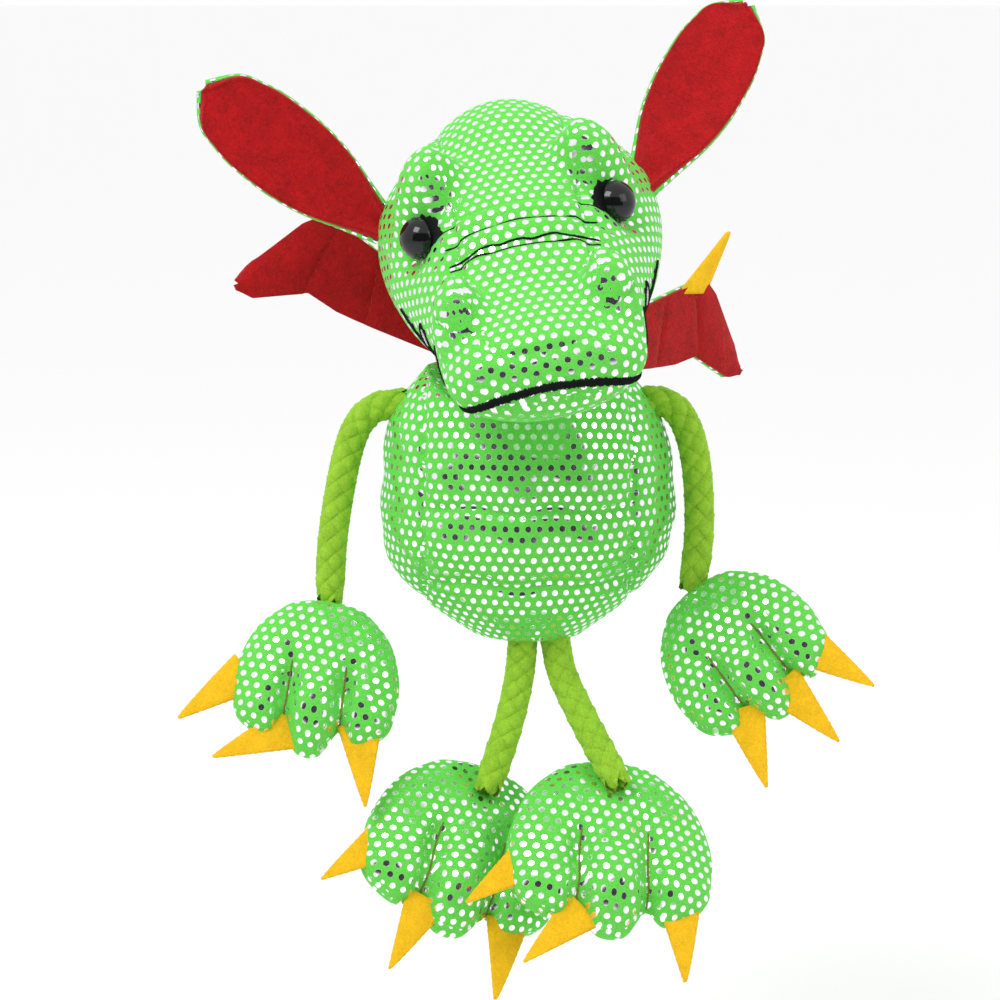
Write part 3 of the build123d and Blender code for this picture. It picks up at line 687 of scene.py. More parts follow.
# %% Mouth
mouth_line = [(-19.2, -41.0, -14.4), (-15.5, -46.0, -12.6), (-8, -49.4, -10.6), (0, -50.4, -9.7),
              (8, -49.4, -10.6), (15.5, -46.0, -12.6), (19.2, -41.0, -14.4)]
mouth = joined([satin(head_tree, mouth_line, 1.9, 0.55)], "mouth_satin", black_thread, head_at)
own(mouth, "head", "black_thread", "mouth_stitching")
print("mouth", len(mouth.data.polygons), "faces")

# %% Jaw lines and fangs
fang_rows, fang_x = (-29.0, -18.0), 23
jaw_lines, fang_parts = [], []
for sign in (-1, 1):
    jaw = [(sign * 21.5, -34.0, -10.2), (sign * 22.5, -29.0, -9.6), (sign * 23.0, -22.0, -8.8),
           (sign * 26.0, -13.0, -6.5), (sign * 28.0, -6.0, -1.5)]
    jaw_lines.append(satin(head_tree, jaw, 1.3, 0.5))
    slit = [(sign * 20.5, -36.5, -1.5), (sign * 21.5, -37.0, -6.0), (sign * 21.0, -37.5, -10.0)]
    jaw_lines.append(satin(head_tree, slit, 1.0, 0.45))
    for y in fang_rows:
        x = sign * fang_x
        fang = [(x, y - 1.6, -7.6), (x, y - 1.0, -3.6), (x, y + 0.4, -2.2), (x, y + 1.8, -4.4),
                (x, y + 2.4, -7.4)]
        jaw_lines.append(satin(head_tree, fang, 0.9, 0.5, taper=0))
        tooth = [(x, y + 0.4, -3.0), (x, y + 0.4, -7.6)]
        fang_parts.append(satin(head_tree, tooth, 2.2, 0.35, taper=1.5))
jaw_piece = joined(jaw_lines, "jaw_satin", black_thread, head_at)
own(jaw_piece, "head", "black_thread", "jaw_stitching")
fang_piece = joined(fang_parts, "fang_satin", white_thread, head_at)
own(fang_piece, "head", "white_thread", "fangs")
print("jaw and fangs", len(jaw_piece.data.polygons), len(fang_piece.data.polygons), "faces")

# %% Lines over the bridge
# Each is a double row, dropped onto the skin from above.
bridge_reaches, row_gap, from_above = (15.3, 15.6, 16.4), 0.35, 60
bridge = []
for line, reach in zip(fold_lines, bridge_reaches):
    for shift in (-row_gap, row_gap):
        route = []
        for x in np.linspace(-reach, reach, 15):
            y = line + shift + fold_bow * x * x + 0.10 * math.sin(x * 0.9 + shift * 7)
            route.append(tuple(head_tree.ray_cast(Vector((x, y, from_above)), Vector((0, 0, -1)))[0]))
        bridge.append(satin(head_tree, route, 0.5, 0.3, taper=1.0, rag=0.2))
bridge_piece = joined(bridge, "bridge_lines", black_thread, head_at)
own(bridge_piece, "head", "black_thread", "bridge_stitching")
print("bridge lines", len(bridge_piece.data.polygons), "faces")

# %% Eye patches
patch_radius, patch_high = 4.9, 0.35
patches = []
for side, sign in sides.items():
    low, high = (Vector(c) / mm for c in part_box(f"eye_{side}"))
    middle = head_at.inverted() @ ((low + high) / 2)
    spot, _ = on_skin(head_tree, middle)
    way = Vector((sign * 0.80, -0.55, 0.20)).normalized()
    first = way.cross(Vector((0, 0, 1))).normalized()
    second = way.cross(first).normalized()

    def patch_place(u, v, spot=spot, first=first, second=second):
        """A patch whose edge is spiky with stitch ends, and pointed front and back."""
        angle = u * 2 * np.pi
        spikes = 1 + 0.06 * np.sin(angle * 9 + 1) + 0.05 * np.sin(angle * 17)
        reach = v * patch_radius * spikes * (1 + 0.30 * np.abs(np.cos(angle)) ** 12)
        result = []
        for a, r, share in zip(angle, reach, v):
            point = Vector(spot) + first * (r * math.cos(a)) + second * (r * math.sin(a))
            foot, out_way = on_skin(head_tree, point)
            result.append(foot + out_way * (patch_high * math.sqrt(max(1 - share ** 6, 0)) - sunk))
        return np.array(result)
    patches.append(grid_form(72, 10, patch_place, closed=True))
patch_piece = joined(patches, "eye_patch_satin", black_thread, head_at)
own(patch_piece, "head", "black_thread", "eye_patches")
print("eye patches", len(patch_piece.data.polygons), "faces")

# %% [markdown]
# ## Body
# The real body is a pear of three panels: a belly with quilted rolls, and two sides that meet down the back.
# A finger goes up a sleeve that opens underneath. It is one skin again, cut along its seams. It starts at the
# sleeve's mouth, comes out round the belly and closes under the head.

# %% Body skin
# z, half the width, half the depth, and the middle of each row in x and y
body_rows = np.array([
    (-2.3, 13.1, 15.5, -1.2, -4.5), (2.6, 19.3, 18.0, -1.5, -5.5), (9.9, 27.5, 20.7, -1.5, -6.5),
    (20.6, 31.2, 22.5, -1.2, -7.5), (31.0, 30.9, 22.3, -1.0, -7.5), (47.0, 27.1, 20.3, -1.7, -6.0),
    (55.7, 19.3, 14.9, -1.7, -5.0),
])
seat_z, shoulder_z = body_rows[0, 0], body_rows[-1, 0]
belly_half = 22.0       # half the width of the belly panel
body_mid, body_mid_y = -1.2, -6.5
quilt_rows = (27.0, 11.0)
sleeve_outer = 10.6
under_share, over_share = 0.10, 0.90    # where the rows turn in under the belly and over the shoulders
seat_sag, crown_rise = 1.2, 4.5


def body_place(u, v):
    """Rings from the sleeve's mouth, out under the belly and up to the shoulders."""
    z = seat_z + (shoulder_z - seat_z) * np.clip((v - under_share) / (over_share - under_share), 0, 1)
    wide = curve_through(body_rows[:, 0], body_rows[:, 1], z)
    depth = curve_through(body_rows[:, 0], body_rows[:, 2], z)
    cx = curve_through(body_rows[:, 0], body_rows[:, 3], z)
    cy = curve_through(body_rows[:, 0], body_rows[:, 4], z)
    low = np.clip(1 - v / under_share, 0, 1)
    shut = np.clip((v - over_share) / (1 - over_share), 0, 1)
    wide = wide * (1 - low) + sleeve_outer * low
    depth = depth * (1 - low) + sleeve_outer * low
    cx, cy = cx * (1 - low), cy * (1 - low)
    z = z - seat_sag * np.sin(np.pi * low) + crown_rise * np.sin(shut * np.pi / 2)
    close = np.cos(shut * np.pi / 2)
    angle = u * 2 * np.pi - np.pi / 2
    return np.stack([cx + wide * close * np.cos(angle), cy + depth * close * np.sin(angle), z], axis=1)


body = grid_form(150, 90, body_place, closed=True)
print("body skin", len(body.faces), "faces")

# %% Body rolls and slack
quilt_deep, roll_high, slack_high = 1.1, 0.8, 0.35
head_clear = (34.0, 26.0)       # half the width and height of the hollow that the head sits over


def outward(p):
    """The way out of the body at each place, level with the floor."""
    away = p - np.array([body_mid, body_mid_y, 0])
    away[:, 2] = 0
    return away / np.maximum(np.linalg.norm(away, axis=1, keepdims=True), 1e-6)


def front_of(p):
    """1 over the belly panel."""
    return step(belly_half, belly_half - 1.5, np.abs(p[:, 0] - body_mid)) * step(-6, -10, p[:, 1])


def body_clay(p):
    """The belly's rolls, the slack cloth and the hollow that the head sits over."""
    p = p.copy()
    away = outward(p)
    front = front_of(p)
    out = np.zeros(len(p))
    for row in quilt_rows:
        wave = row + 0.7 * np.sin(p[:, 0] * 0.35)
        out -= front * quilt_deep * np.exp(-((p[:, 2] - wave) / 1.1) ** 2)
    roll = (p[:, 2] - quilt_rows[1]) / (quilt_rows[0] - quilt_rows[1])
    out += front * roll_high * (0.5 - 0.5 * np.cos(2 * np.pi * roll))
    lift = slack_high * np.sin(p[:, 0] * 0.42 + p[:, 2] * 0.31) * np.sin(p[:, 2] * 0.27 - p[:, 1] * 0.21)
    out += lift * step(-1, 6, p[:, 2])
    p += away * out[:, None]
    for _ in range(70):             # whatever is inside the hollow sinks a little at a time until it is out
        local = to_head(p)
        deep = (local[:, 0] / head_clear[0]) ** 2 + (local[:, 2] / head_clear[1]) ** 2 < 1
        p[deep & (p[:, 2] > 20), 2] -= 0.5
    return p


moved(body, body_clay)
print("body from", round(min(v.co.z for v in body.verts), 1), "to", round(max(v.co.z for v in body.verts), 1))

# %% Body seams
for sign in (-1, 1):
    for shift in (-groove_reach, 0, groove_reach):
        cut(body, (body_mid + sign * belly_half + shift, 0, 0), (1, 0, 0), lambda c: c.y < -6)
cut(body, (body_mid, 0, 0), (1, 0, 0), lambda c: c.y > -6)


def body_label(p):
    """0 belly, 1 left side, 2 right side."""
    belly = (np.abs(p[:, 0] - body_mid) < belly_half) & (p[:, 1] < -7) & (p[:, 2] > seat_z - 0.4)
    return np.where(belly, 0, np.where(p[:, 0] > body_mid, 1, 2))


def body_grooves(p):
    """Seams beside the belly and down the back."""
    off_seam = np.abs(p[:, 0] - body_mid) - belly_half
    beside = np.exp(-(off_seam / groove_reach) ** 2) * step(-6, -9, p[:, 1])
    behind = np.exp(-((p[:, 0] - body_mid) / groove_reach) ** 2) * step(2, 6, p[:, 1])
    pucker = 1 + 0.4 * np.sin(p[:, 2] * 2.2)
    return p - outward(p) * (groove_deep * np.maximum(beside, behind) * pucker)[:, None]


moved(body, body_grooves)

# %% Body panels
# Their guess is unrolled round the body, with each height measured along its profile.
front_line = body_place(0 * profile_rows, profile_rows)
body_profile = np.stack([-np.hypot(front_line[:, 0] - body_mid, front_line[:, 1] - body_mid_y),
                         front_line[:, 2]], axis=1)
body_profile_centre = (0.0, 24.0)
widest = body_rows[3]


def unroll_body(spots):
    """The belly and sides unrolled round the body."""
    p = spots / mm - np.array([body_mid, body_mid_y, 0])
    reach = np.hypot(p[:, 0], p[:, 1])
    sign = 1 if p[:, 0].mean() > 0 else -1
    sideways = np.where(p[:, 1] > 4, np.maximum(sign * p[:, 0], 0), sign * p[:, 0])
    turned = sign * np.arctan2(sideways, -p[:, 1])
    narrow = np.hypot(p[:, 0] * widest[2] / widest[1], p[:, 1])
    height = along_profile(np.stack([-narrow, p[:, 2]], axis=1), body_profile, body_profile_centre)
    return np.stack([turned * reach, height], axis=1) * mm


panels(body, body_label, (
    ("belly_cloth", ("belly_panel", "body_stuffing"), unroll_body),
    ("side_left_cloth", ("side_panel_left",), unroll_body),
    ("side_right_cloth", ("side_panel_right",), unroll_body),
), "torso")

# %% [markdown]
# ## Limbs
# Each arm and leg is a piece of cord, and each hand and foot hangs from the end of one. So the cords' routes
# come first, because they say where the hands and feet go.

# %% Limb routes
# Each route runs from the body to the middle of its hand or foot. The number is the point before its bend.
limbs = {
    "arm_right": ([(-30.4, -8.0, 46.5), (-34.4, -8.5, 45.4), (-37.6, -9.5, 41.8), (-39.7, -11.0, 35.3),
                   (-41.7, -12.6, 24.8), (-43.0, -13.6, 14.6), (-43.2, -14.0, 5.5)], 3),
    "arm_left": ([(27.2, -8.0, 47.2), (30.9, -8.8, 45.2), (33.4, -10.0, 40.3), (34.9, -11.2, 33.0),
                  (35.4, -13.0, 23.0), (35.0, -13.8, 14.7), (33.8, -14.0, 8.3)], 3),
    "leg_right": ([(-2.2, -15.4, -4.0), (-2.7, -15.8, -10.4), (-4.3, -17.2, -18.2), (-6.9, -20.2, -26.5),
                   (-9.6, -23.5, -33.5)], 1),
    "leg_left": ([(4.9, -15.4, -4.0), (5.9, -16.6, -10.0), (9.3, -20.4, -16.6), (13.5, -25.8, -23.8),
                  (17.6, -31.5, -30.1)], 1),
}
print("limbs", list(limbs))

# %% [markdown]
# ## Hands and feet
# Each is a top and an under panel, stuffed, with two grooves stitched right through it between its toes and
# three felt claws caught in its front seam. All four are the same shape at two sizes, so one function makes
# them and a table says what differs: which cord it hangs from, how it is turned, and where its claws point.

# %% Mitt tables
# the share of the length, and the width and thickness there
mitt_rows = np.array([(0.00, 0.42, 0.46), (0.16, 0.74, 0.74), (0.42, 0.97, 0.95), (0.68, 1.00, 1.00),
                      (0.88, 0.88, 0.80), (1.00, 0.55, 0.40)])
hand_size, foot_size = (35.0, 31.0, 15.0), (44.0, 36.0, 16.0)
seat_gap, ankle_back = 1.6, 7.0         # from the cord's end to the cloth, and to the back of the heel
seam_drop = 0.4                         # how far below the middle the two panels meet
claw_base, claw_length, claw_felt = 9.0, 15.0, 1.8
claw_sewn_in, claw_curl = 2.2, 1.6
toe_split = 0.17                        # the grooves' distance from the middle, as a share of the width
valley_wide, valley_deep, notch_deep = 0.06, 0.55, 4.6
# its limb, its pitch, roll and lean, its size, whether the cord comes in on top, and then for each claw
# its place across and along, as shares, and its turn
mitts = {
    "hand_right": ("arm_right", 62.0, 8.0, 0.0, hand_size, False,
                   ((-0.47, 0.60, -48.0), (-0.17, 0.93, -62.0), (0.30, 0.88, 12.0))),
    "hand_left": ("arm_left", 62.0, -38.0, 0.0, hand_size, False,
                  ((-0.20, 0.93, -20.0), (0.10, 0.95, 8.0), (0.36, 0.82, 22.0))),
    "foot_right": ("leg_right", 50.0, 14.0, 12.0, foot_size, True,
                   ((-0.42, 0.66, -42.0), (-0.15, 0.96, -14.0), (0.28, 0.93, 4.0))),
    "foot_left": ("leg_left", 50.0, 0.0, 12.0, foot_size, True,
                  ((-0.42, 0.66, -52.0), (-0.17, 0.96, -46.0), (0.33, 0.88, 4.0))),
}


# %% Mitt skin
def mitt_skin(size, top_entry):
    """One mitt in its own frame: toes towards -y, top towards +z."""
    width, length, thick = size
    start_y = ankle_back if top_entry else -seat_gap
    drop = -(seat_gap + 0.42 * thick) if top_entry else 0.0
    heel_round, toe_round = 0.06, 0.10

    def place(u, v):
        share = -0.02 + 1.06 * (0.5 - 0.5 * np.cos(np.pi * v))
        near = np.clip((share + 0.02) / heel_round, 0, 1)
        far = np.clip((1.04 - share) / toe_round, 0, 1)
        closing = np.sqrt(1 - (1 - near) ** 2) * np.sqrt(1 - (1 - far) ** 2)
        inside = np.clip(share, 0, 1)
        wide = curve_through(mitt_rows[:, 0], mitt_rows[:, 1], inside) * width / 2 * closing
        tall = curve_through(mitt_rows[:, 0], mitt_rows[:, 2], inside) * thick / 2 * closing
        angle = u * 2 * np.pi
        x, z = wide * np.cos(angle), tall * np.sin(angle)
        lobe = np.abs(x) / width
        valley = np.exp(-((lobe - toe_split) / valley_wide) ** 2) * step(0.26, 0.66, share)
        z = z * (1 - valley_deep * valley)
        middle = np.exp(-(x / width / 0.12) ** 2) * step(0.5, 0.8, share)
        z = z * (1 + 0.12 * middle)
        y = start_y - share * length + notch_deep * valley * step(0.70, 1.0, share)
        y = y - 1.2 * middle * step(0.8, 1.0, share)
        seam = np.exp(-(z / 0.9) ** 2) * (1 - valley)
        x = x * (1 - 0.035 * seam)
        slack = 0.3 * np.sin(x * 0.7 + 1) * np.sin(y * 0.55)
        z = z + slack * step(1, 4, np.abs(z))
        return np.stack([x, y, z + drop], axis=1)
    return grid_form(96, 64, place, closed=True), start_y, drop


# %% Toe stitches and claws
def toe_stitches(tree, size, start_y, drop):
    """Both grooves' threads, on the top and underneath."""
    width, length, _ = size
    lines = []
    for sign in (-1, 1):
        for face in (-1, 1):
            route = []
            for share in np.linspace(0.46, 0.98, 12):
                x = sign * toe_split * width * (0.9 + 0.12 * share)
                hit = tree.ray_cast(Vector((x, start_y - share * length, drop + face * 40)),
                                    Vector((0, 0, -face)))
                if hit[0] is not None:
                    route.append(tuple(hit[0]))
            lines.append(satin(tree, route, 0.55, 0.25, taper=1.0))
    return lines


def claw_form(spot, turn_by):
    """A felt triangle with a fuzzy cut edge, caught in a seam and curled a little downwards."""
    def place(u, v):
        half = claw_base / 2 * np.clip(1.02 - v, 0.03, 1) ** 0.92
        fray = 0.10 * np.sin(v * 70 + 4 * u)
        x = (2 * u - 1) * (half + fray * np.abs(2 * u - 1) ** 4)
        y = claw_sewn_in - v * (claw_length + claw_sewn_in)
        z = -claw_curl * v ** 2 - 0.5 * (2 * u - 1) ** 2 * (1 - v)
        return np.stack([x, y, z], axis=1)
    work = grid_form(10, 26, place)
    bmesh.ops.recalc_face_normals(work, faces=work.faces)
    bmesh.ops.solidify(work, geom=work.faces, thickness=claw_felt * 0.8)
    bmesh.ops.smooth_vert(work, verts=work.verts, factor=0.3, use_axis_x=True, use_axis_y=True,
                          use_axis_z=True)
    matrix = Matrix.Translation(spot) @ Matrix.Rotation(math.radians(turn_by), 4, "Z")
    bmesh.ops.transform(work, matrix=matrix, verts=work.verts)
    return work


# %% Mitts
for name, (limb, pitch, roll, lean, size, top_entry, claws) in mitts.items():
    cord_end = limbs[limb][0][-1]
    at = (Matrix.Translation(cord_end) @ Matrix.Rotation(math.radians(roll), 4, "Y")
          @ Matrix.Rotation(math.radians(pitch), 4, "X") @ Matrix.Rotation(math.radians(lean), 4, "Y"))
    width, length, _ = size
    skin, start_y, drop = mitt_skin(size, top_entry)
    seam_z = drop - seam_drop
    cut(skin, (0, 0, seam_z), (0, 0, 1))
    tree = BVHTree.FromBMesh(skin)
    stitches = joined(toe_stitches(tree, size, start_y, drop), f"{name}_toe_stitches", olive_thread, at)
    own(stitches, name, "olive_thread")
    under = "sole" if top_entry else "palm"
    panels(skin, lambda centres, seam_z=seam_z: (centres[:, 2] < seam_z).astype(int), (
        (f"{name}_top_cloth", (f"{name}_top", f"{name}_stuffing"), None),
        (f"{name}_{under}_cloth", (f"{name}_{under}",), None),
    ), name, at)
    talons = []
    for across, down, angle in claws:
        spot = Vector((across * width, start_y - down * length, drop + claw_felt * 0.4))
        talons.append(claw_form(spot, angle))
    own(joined(talons, f"{name}_felt_claws", yellow_felt, at), name, "yellow_felt", f"{name}_claws")

# %% [markdown]
# ## Ears and wings
# Each is two layers sewn together and turned out: red plush in front and dotted cloth behind, whose edge
# shows round the plush. One solid with two colours would lose that rim. So each layer is a sheet of its own,
# given its thickness away from the middle, and the plush is cut a little smaller.

# %% Leaves
def leaf_frame(root, way, facing):
    """x along the leaf, z out of its front."""
    along = Vector(way).normalized()
    across = Vector(facing).cross(along).normalized()
    up = along.cross(across)
    matrix = Matrix((along, across, up)).transposed().to_4x4()
    return Matrix.Translation(root) @ matrix


layer_gap = 0.05        # from a leaf's middle to each of its layers


def shell(place, columns, rows, thick, matrix, name, look, front):
    """One layer of a leaf, with its thickness away from the leaf's middle. front is 1 or -1."""
    work = grid_form(columns, rows, place)
    for vertex in work.verts:
        vertex.co.z += layer_gap * front
    bmesh.ops.recalc_face_normals(work, faces=work.faces)
    down = sum(f.normal.z for f in work.faces) < 0
    if down == (front > 0):
        bmesh.ops.reverse_faces(work, faces=work.faces)
    bmesh.ops.solidify(work, geom=work.faces, thickness=-thick)
    bmesh.ops.transform(work, matrix=matrix, verts=work.verts)
    return to_object(work, name, look)


# %% Ear shape
ear_length, ear_half, felt = 43.0, 9.5, 1.2
plush_thick, cloth_thick, plush_inset = felt * 1.1, felt * 0.8, 0.1
ear_cup, ear_bend = 1.2, -1.0
ears = {"left": ((25.9, -2.2, 97.5), (0.475, 0.45, 0.755)),
        "right": ((-35.2, -4.2, 86.2), (-0.782, -0.07, 0.62))}
ear_shares = np.array([(0.0, 0.34), (0.15, 0.58), (0.35, 0.88), (0.6, 1.0), (0.8, 0.90), (0.93, 0.62),
                       (1.0, 0.10)])
ear_tails = {"left": 8.0, "right": 5.0}         # how far each root runs on into the head


def ear_place(inset, tail):
    """A leaf with a narrow root and a blunt tip, cupped along its middle."""
    def place(u, v):
        share = 0.5 - 0.5 * np.cos(np.pi * v)
        half = curve_through(ear_shares[:, 0], ear_shares[:, 1], share) * ear_half - inset
        half = np.maximum(half, 0.1)
        t = 2 * u - 1
        x = share * (ear_length - inset + tail) - tail
        root = np.exp(-(share / 0.16) ** 2)
        z = ear_cup * t * t * (1 + 1.2 * root) + ear_bend * share ** 2 + 0.25 * np.sin(9 * share + 2 * t)
        return np.stack([x, half * t * (1 - 0.12 * root), z], axis=1)
    return place


# %% Ears
for side, (root, way) in ears.items():
    matrix = leaf_frame(root, way, (0, -1, 0.1))
    tail = ear_tails[side]
    front = shell(ear_place(plush_inset, tail), 28, 60, plush_thick, matrix, f"ear_plush_{side}",
                  red_plush, 1)
    back = shell(ear_place(0.0, tail), 28, 60, cloth_thick, matrix, f"ear_cloth_{side}",
                 dotted_cloth, -1)
    lay_out(back)
    own(front, f"ear_{side}", "red_felt", f"ear_lining_{side}")
    own(back, f"ear_{side}", "dotted_cloth", f"ear_back_{side}")
    print("ear", side, len(front.data.polygons), "faces a layer")

# %% Wing shape
wing_span, wing_height, wing_share = 60.0, 24.0, 0.42   # the share is how much of its rectangle is cloth
corner_at, outer_at, root_at = (0.76, 0.80), (0.97, 0.14), (0.0, 0.20)
# the root, the rise and the backward sweep of each wing
wings = {"left": ((8.0, 17.5, 52.0), -5.0, 48.0), "right": ((-8.0, 17.5, 52.0), 18.0, 8.0)}
lead_edge = np.array([root_at, corner_at, (0.83, 0.66), outer_at, (1.0, -0.08)])
trail_edge = np.array([(0.0, -0.10), (0.25, -0.09), (0.50, -0.06), (0.62, -0.03), (0.74, 0.05),
                       (0.84, -0.06), (0.93, -0.16), (0.985, -0.14), (1.0, -0.08)])
vein_runs = (((0.70, 0.76), (0.76, -0.02)), ((0.52, 0.60), (0.50, -0.06)), ((0.86, 0.52), (0.90, -0.1)))
vein_wide, wing_puff, wing_curl = 0.9, 0.5, 1.2


def wing_frame(side):
    """x out along the span, z towards the front, and whether y points up."""
    root, raised, swept = wings[side]
    rise, sweep = math.radians(raised), math.radians(swept)
    sign = sides[side]
    out = sign * math.cos(rise)
    way = (out * math.cos(sweep), math.cos(rise) * math.sin(sweep), math.sin(rise))
    matrix = leaf_frame(root, way, (sign * math.sin(sweep), -math.cos(sweep), 0))
    up = 1 if (matrix.to_3x3() @ Vector((0, 1, 0))).z > 0 else -1
    return matrix, up


def wing_place(up, inset, belly):
    """The wing between its leading and trailing edges, puffed between the veins."""
    def place(u, v):
        top = np.interp(v, lead_edge[:, 0], lead_edge[:, 1]) * wing_height - inset
        low = np.interp(v, trail_edge[:, 0], trail_edge[:, 1]) * wing_height + inset
        x = v * (wing_span - inset)
        y = low + (top - low) * u
        crease = np.zeros(len(x))
        for (x1, y1), (x2, y2) in vein_runs[:2]:
            a = np.array([x1 * wing_span, y1 * wing_height])
            b = np.array([x2 * wing_span, y2 * wing_height])
            run = (b - a) / np.linalg.norm(b - a)
            off = (x - a[0]) * run[1] - (y - a[1]) * run[0]
            crease += np.exp(-(off / vein_wide) ** 2)
        puff = belly * (1 - np.clip(crease, 0, 1)) * (np.sin(np.pi * np.clip(u, 0.02, 0.98)) ** 0.5)
        curl = wing_curl * np.sin(v * 7 + 1) * (1 - u) * v
        return np.stack([x, up * y, puff + curl], axis=1)
    return place


# %% Wing stitches and thorn
vein_stitches, stitch_start, stitch_end = 7, 0.08, 0.72
thorn_length, thorn_base, thorn_back, thorn_sewn_in = 14.0, 9.0, 2.0, 1.5
thorn_lean = 0.45       # how far the thorn leans out along the wing
thorn_puff = 0.9


def skin_of(obj):
    """A made piece's surface in mm, to lay stitches on."""
    work = bmesh.new()
    work.from_mesh(obj.data)
    bmesh.ops.scale(work, vec=(1 / mm,) * 3, verts=work.verts)
    tree = BVHTree.FromBMesh(work)
    work.free()
    return tree


def wing_stitches(tree, up, matrix):
    """Short stitches in a row along each vein."""
    made = []
    for run in vein_runs:
        start, end = (Vector((x * wing_span, up * y * wing_height, 2.0)) for x, y in run)
        for index in range(vein_stitches):
            a = start.lerp(end, (index + stitch_start) / vein_stitches)
            b = start.lerp(end, (index + stitch_end) / vein_stitches)
            made.append(satin(tree, [matrix @ a, matrix @ a.lerp(b, 0.5), matrix @ b], 0.55, 0.35, 0.6))
    return made


def thorn_form(up, matrix):
    """The felt thorn at the wing's upper corner, pointing away from both edges."""
    corner, outer, root = (Vector((x * wing_span, up * y * wing_height, 0))
                           for x, y in (corner_at, outer_at, root_at))
    edge_way, lead_way = (outer - corner).normalized(), (root - corner).normalized()
    out_way = -(edge_way + lead_way).normalized()
    foot_a, foot_b = corner + lead_way * thorn_base, corner + edge_way * thorn_back
    tip = corner + (out_way + Vector((thorn_lean, 0, 0))).normalized() * thorn_length

    def place(u, v):
        base = np.array(foot_a)[None, :] * (1 - u[:, None]) + np.array(foot_b)[None, :] * u[:, None]
        base = base - np.array(out_way)[None, :] * thorn_sewn_in
        close = (v[:, None] ** 0.92) * 0.985
        p = base * (1 - close) + np.array(tip)[None, :] * close
        p[:, 2] += thorn_puff * np.sin(np.pi * u) * (1 - v)
        return p
    work = grid_form(10, 24, place)
    bmesh.ops.recalc_face_normals(work, faces=work.faces)
    bmesh.ops.solidify(work, geom=work.faces, thickness=claw_felt * 0.7)
    bmesh.ops.transform(work, matrix=matrix, verts=work.verts)
    return work


# %% Wings
for side in sides:
    matrix, up = wing_frame(side)
    rides_on = f"wing_{side}"
    front = shell(wing_place(up, plush_inset, wing_puff), 36, 84, plush_thick, matrix,
                  f"wing_plush_{side}", red_plush, 1)
    back = shell(wing_place(up, 0.0, 0.0), 36, 84, cloth_thick, matrix, f"wing_cloth_{side}",
                 dotted_cloth, -1)
    lay_out(back)
    own(front, rides_on, "red_felt", f"wing_lining_{side}")
    own(back, rides_on, "dotted_cloth", f"wing_back_{side}")
    stitches = joined(wing_stitches(skin_of(front), up, matrix), f"wing_stitches_{side}", olive_thread)
    own(stitches, rides_on, "olive_thread", f"wing_stitching_{side}")
    thorn = to_object(thorn_form(up, matrix), f"wing_felt_claw_{side}", yellow_felt)
    own(thorn, rides_on, "yellow_felt", f"wing_claw_{side}")
    print("wing", side, len(front.data.polygons), "faces a layer")

# %% [markdown]
# ## Braided cords
# The limbs are green braided cotton. A tube with a bumpy finish would look smooth at its edges, so the braid
# is real: eight strands, four turning each way, which pass over and under each other round the limb's route.
# The cord bends at its middle.

# %% Braid sizes
cord_d = 6.4
braid_turn = 17.0       # one strand goes once round in this length
strand_wide, strand_high = 1.75, 1.05
braid_r = cord_d / 2 - strand_high
braid_rows = 0.42       # the length of one row of a strand
braid_wave = 0.45       # how far a strand rises and sinks as it crosses the others
strand_slant = 0.9
yarn_ridges, yarn_high = 8, 0.07


def route_of(name, points):
    """The smooth line through a limb's route, as points in mm."""
    data = bpy.data.curves.new(f"{name}_route", "CURVE")
    data.dimensions = "3D"
    data.resolution_u = 24
    line = data.splines.new("NURBS")
    line.points.add(len(points) - 1)
    for spot, point in zip(line.points, points):
        spot.co = (*(c * mm for c in point), 1)
    line.order_u = 3
    line.use_endpoint_u = True
    holder = bpy.data.objects.new(f"{name}_route", data)
    bpy.context.collection.objects.link(holder)
    bpy.context.view_layer.update()
    mesh = bpy.data.meshes.new_from_object(holder)
    places = np.array([v.co for v in mesh.vertices]) / mm
    bpy.data.meshes.remove(mesh)
    bpy.data.objects.remove(holder)
    return places


# %% Braid
def braid(name, points):
    """The strands of one cord as one mesh, and its middle line in metres."""
    line = route_of(name, points)
    run = np.concatenate([[0], np.cumsum(np.linalg.norm(np.diff(line, axis=0), axis=1))])
    length = run[-1]
    rows = int(length / braid_rows)
    even = np.linspace(0, length, rows + 1)
    middle = np.stack([np.interp(even, run, line[:, k]) for k in range(3)], axis=1)
    ahead = np.gradient(middle, axis=0)
    ahead /= np.linalg.norm(ahead, axis=1, keepdims=True)
    first = np.cross(ahead, np.array([0, 1.0, 0.02]))
    first /= np.linalg.norm(first, axis=1, keepdims=True)
    second = np.cross(ahead, first)
    parts = []
    phase = 2 * np.pi * even / braid_turn
    pinch = 1 - 0.22 * np.exp(-((length - even) / 3.0) ** 2)
    for way in (1, -1):
        for k in range(4):
            angle = way * phase + k * np.pi / 2 + (np.pi / 4 if way < 0 else 0)
            over = way * np.cos(4 * phase - np.pi / 2)
            r = (braid_r - 0.30 + braid_wave * over) * pinch
            out = first * np.cos(angle)[:, None] + second * np.sin(angle)[:, None]
            side = -first * np.sin(angle)[:, None] + second * np.cos(angle)[:, None]
            slant = side * np.cos(strand_slant) - way * ahead * np.sin(strand_slant)
            centre = middle + out * r[:, None]

            def place(u, v, centre=centre, out=out, slant=slant):
                i = np.rint(v * rows).astype(int)
                turn_u = u * 2 * np.pi
                yarn = 1 + yarn_high * np.cos(yarn_ridges * turn_u)
                return (centre[i] + out[i] * (strand_high * yarn * np.sin(turn_u))[:, None]
                        + slant[i] * (strand_wide * yarn * np.cos(turn_u))[:, None])
            parts.append(grid_form(16, rows, place, closed=True))
    return joined(parts, f"{name}_braid", cotton), middle * mm
